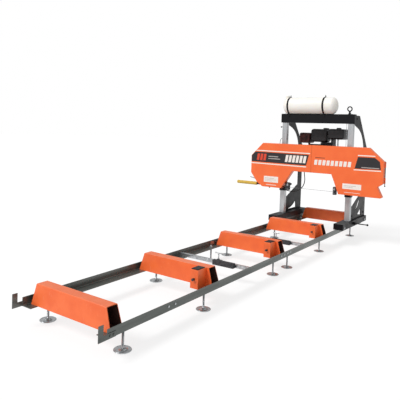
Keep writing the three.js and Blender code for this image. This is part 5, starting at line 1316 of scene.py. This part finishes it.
def makePushHandle():
    bm = bmesh.new()
    centre, x, z = (0, handle["y"], handle["z"]), handle["leverX"], handle["leverZ"]
    bar(bm, 15, -1256, -534, "X", centre, 40, 1)
    lathe(bm, [(0, -533.3), (28, -533.3), (28, -542), (26.5, -543.5), (20, -544), (16.5, -547), (15, -552),
               (0, -552)], "X", centre, 48)
    for low, high in ((-46.3, -40.3), (-31.7, -25.7)):
        plate(bm, [(x - 20, z - 64), (x + 20, z - 64), (x + 20, z + 5), (x + 11, z + 16), (x - 11, z + 16),
                   (x - 20, z + 5)], "Y", low, high, soft=1)
    bar(bm, 5, -48, -25.7, "Y", (x, 0, z), 24, 0.5)
    hexagon(bm, 8, -51, -46.2, "Y", (x, 0, z))
    finishPiece(bm, "push_handle_tube", "saw_head", "blackPowderCoat", ["push_handle"])


def makeGrip():
    bm = bmesh.new()
    profile = [(0, -1262), (20, -1262), (24, -1259), (25, -1254)]
    for i in range(15):
        start = -1240 + 20 * i
        profile += [(25, start), (23.8, start + 2), (23.8, start + 5), (25, start + 7)]
    profile += [(25, -922), (23, -916), (15.4, -916), (15.4, -1256.5), (0, -1256.5)]
    lathe(bm, profile, "X", (0, handle["y"], handle["z"]), 48)
    finishPiece(bm, "grip_sleeve", "saw_head", "yellowFoam", ["handle_grip"], smoothBelow=50)


tension = {"y": -10, "z": 1092, "barX": -920, "barHalf": 68}


def makeTensionScrew():
    bm = bmesh.new()
    x, y, z = tension["barX"], tension["y"], tension["z"]
    low, high = z - tension["barHalf"], z + tension["barHalf"]
    threadedBar(bm, 9, -905, -560, "X", (0, y, z), 3, 24)
    bar(bm, 13.5, -931, -904, "X", (0, y, z), 32, 2)
    bar(bm, 8, low, high, "Z", (x, y, 0), 28, 1)
    for end in (low, high):
        lathe(bm, [(0, end - 6), (6.5, end - 5), (10, end - 1.5), (10, end + 1.5), (6.5, end + 5),
                   (0, end + 6)], "Z", (x, y, 0), 28)
    finishPiece(bm, "tension_screw", "tension_handle", "zincPlate", ["tension_handle"])
    nut = bmesh.new()
    hexagon(nut, 19, -652, -640, "X", (0, y, z))
    finishPiece(nut, "tension_nut", "saw_head", "zincPlate")


crank = {"y": 64, "z": 1160, "reach": 140}


def makeCrank():
    bm = bmesh.new()
    y, z, reach = crank["y"], crank["z"], crank["reach"]
    lathe(bm, [(0, 373), (40.5, 373), (42, 374.5), (42, 376.8), (40.8, 378), (26, 378), (26, 430),
               (40.8, 430), (42, 431.2), (42, 433.5), (40.5, 435), (20, 435), (18, 438), (9, 438), (9, 612),
               (0, 612)], "X", (0, y, z), 48)
    arm = roundedRect(y - 12, y + 12, z - reach - 12, z + 12, 11.9, 8)
    plate(bm, arm, "X", 600, 609, soft=1.5)
    hexagon(bm, 13, 609, 616, "X", (0, y, z))
    finishPiece(bm, "crank_spool", "lift_crank", "blackPowderCoat", ["lift_crank"])
    knob = bmesh.new()
    lathe(knob, [(0, 609), (9, 609), (11, 612), (12, 624), (14, 650), (14, 676), (12, 688), (7, 694),
                 (0, 695)], "X", (0, y, z - reach), 36)
    finishPiece(knob, "crank_knob", "lift_crank", "blackPlastic")


rope = {"strands": 6, "strand": 1.02, "ring": 1.95, "core": 1.3, "lay": 24, "top": 1643}
drum = {"start": 392.3, "winding": 29.3, "pitch": 7.2, "turns": 3, "steps": 48}


# A wire rope: thin strands laid round its middle line
def makeRope(node, path, body):
    bm = bmesh.new()
    turns = frames(path)
    run = 0
    strands = [[] for _ in range(rope["strands"])]
    for i, turn in enumerate(turns):
        if i:
            run += (turn.translation - turns[i - 1].translation).length
        for k, strand in enumerate(strands):
            lay = 2 * math.pi * (k / rope["strands"] + run / rope["lay"])
            strand.append(turn @ Vector((rope["ring"] * math.cos(lay), rope["ring"] * math.sin(lay), 0)))
    for strand in strands:
        sweep(bm, strand, rope["strand"], 6)
    sweep(bm, path, rope["core"], 6)
    return finishPiece(bm, node + "_strands", body, "zincPlate", [node], smoothBelow=70)


def makeRopes():
    y, z, winding, steps = crank["y"], crank["z"], drum["winding"], drum["steps"]
    below = z - winding
    path = [Vector(p) for p in ((378.3, 72, below), (381, 72, below), (384.3, 72, below),
                                (388.3, 69.6, below))]
    for step in range(-11, drum["turns"] * steps + 1):
        turn = 2 * math.pi * step / steps
        path.append(Vector((drum["start"] + step / steps * drum["pitch"], y - winding * math.cos(turn),
                            z + winding * math.sin(turn))))
    x, y = drum["start"] + drum["turns"] * drum["pitch"], y - winding
    path.append(Vector((x, y, z + 6)))
    makeRope("drum_rope", smoothPath(path, 2), "saw_head")
    low, high = z + 6.3, rope["top"]
    hanging = makeRope("lift_rope", [(x, y, low + (high - low) * i / 160) for i in range(161)], None)
    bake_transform(hanging)  # pays out as the head goes down


makeFrameBolts()
guideFront = (headY * 1000 + guides["face"]) * mm
for node, x in guides["x"].items():
    refine(node, "castIron", 2, 2, drop=lambda co: co.y < guideFront)
    makeGuideRoller(node + "_roller", nodes[node]["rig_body"], x)
makePushHandle()
makeGrip()
refine("throttle_lever", "zincPlate", 1.2, 2)
makeTensionScrew()
makeCrank()
makeRopes()
print("head made")
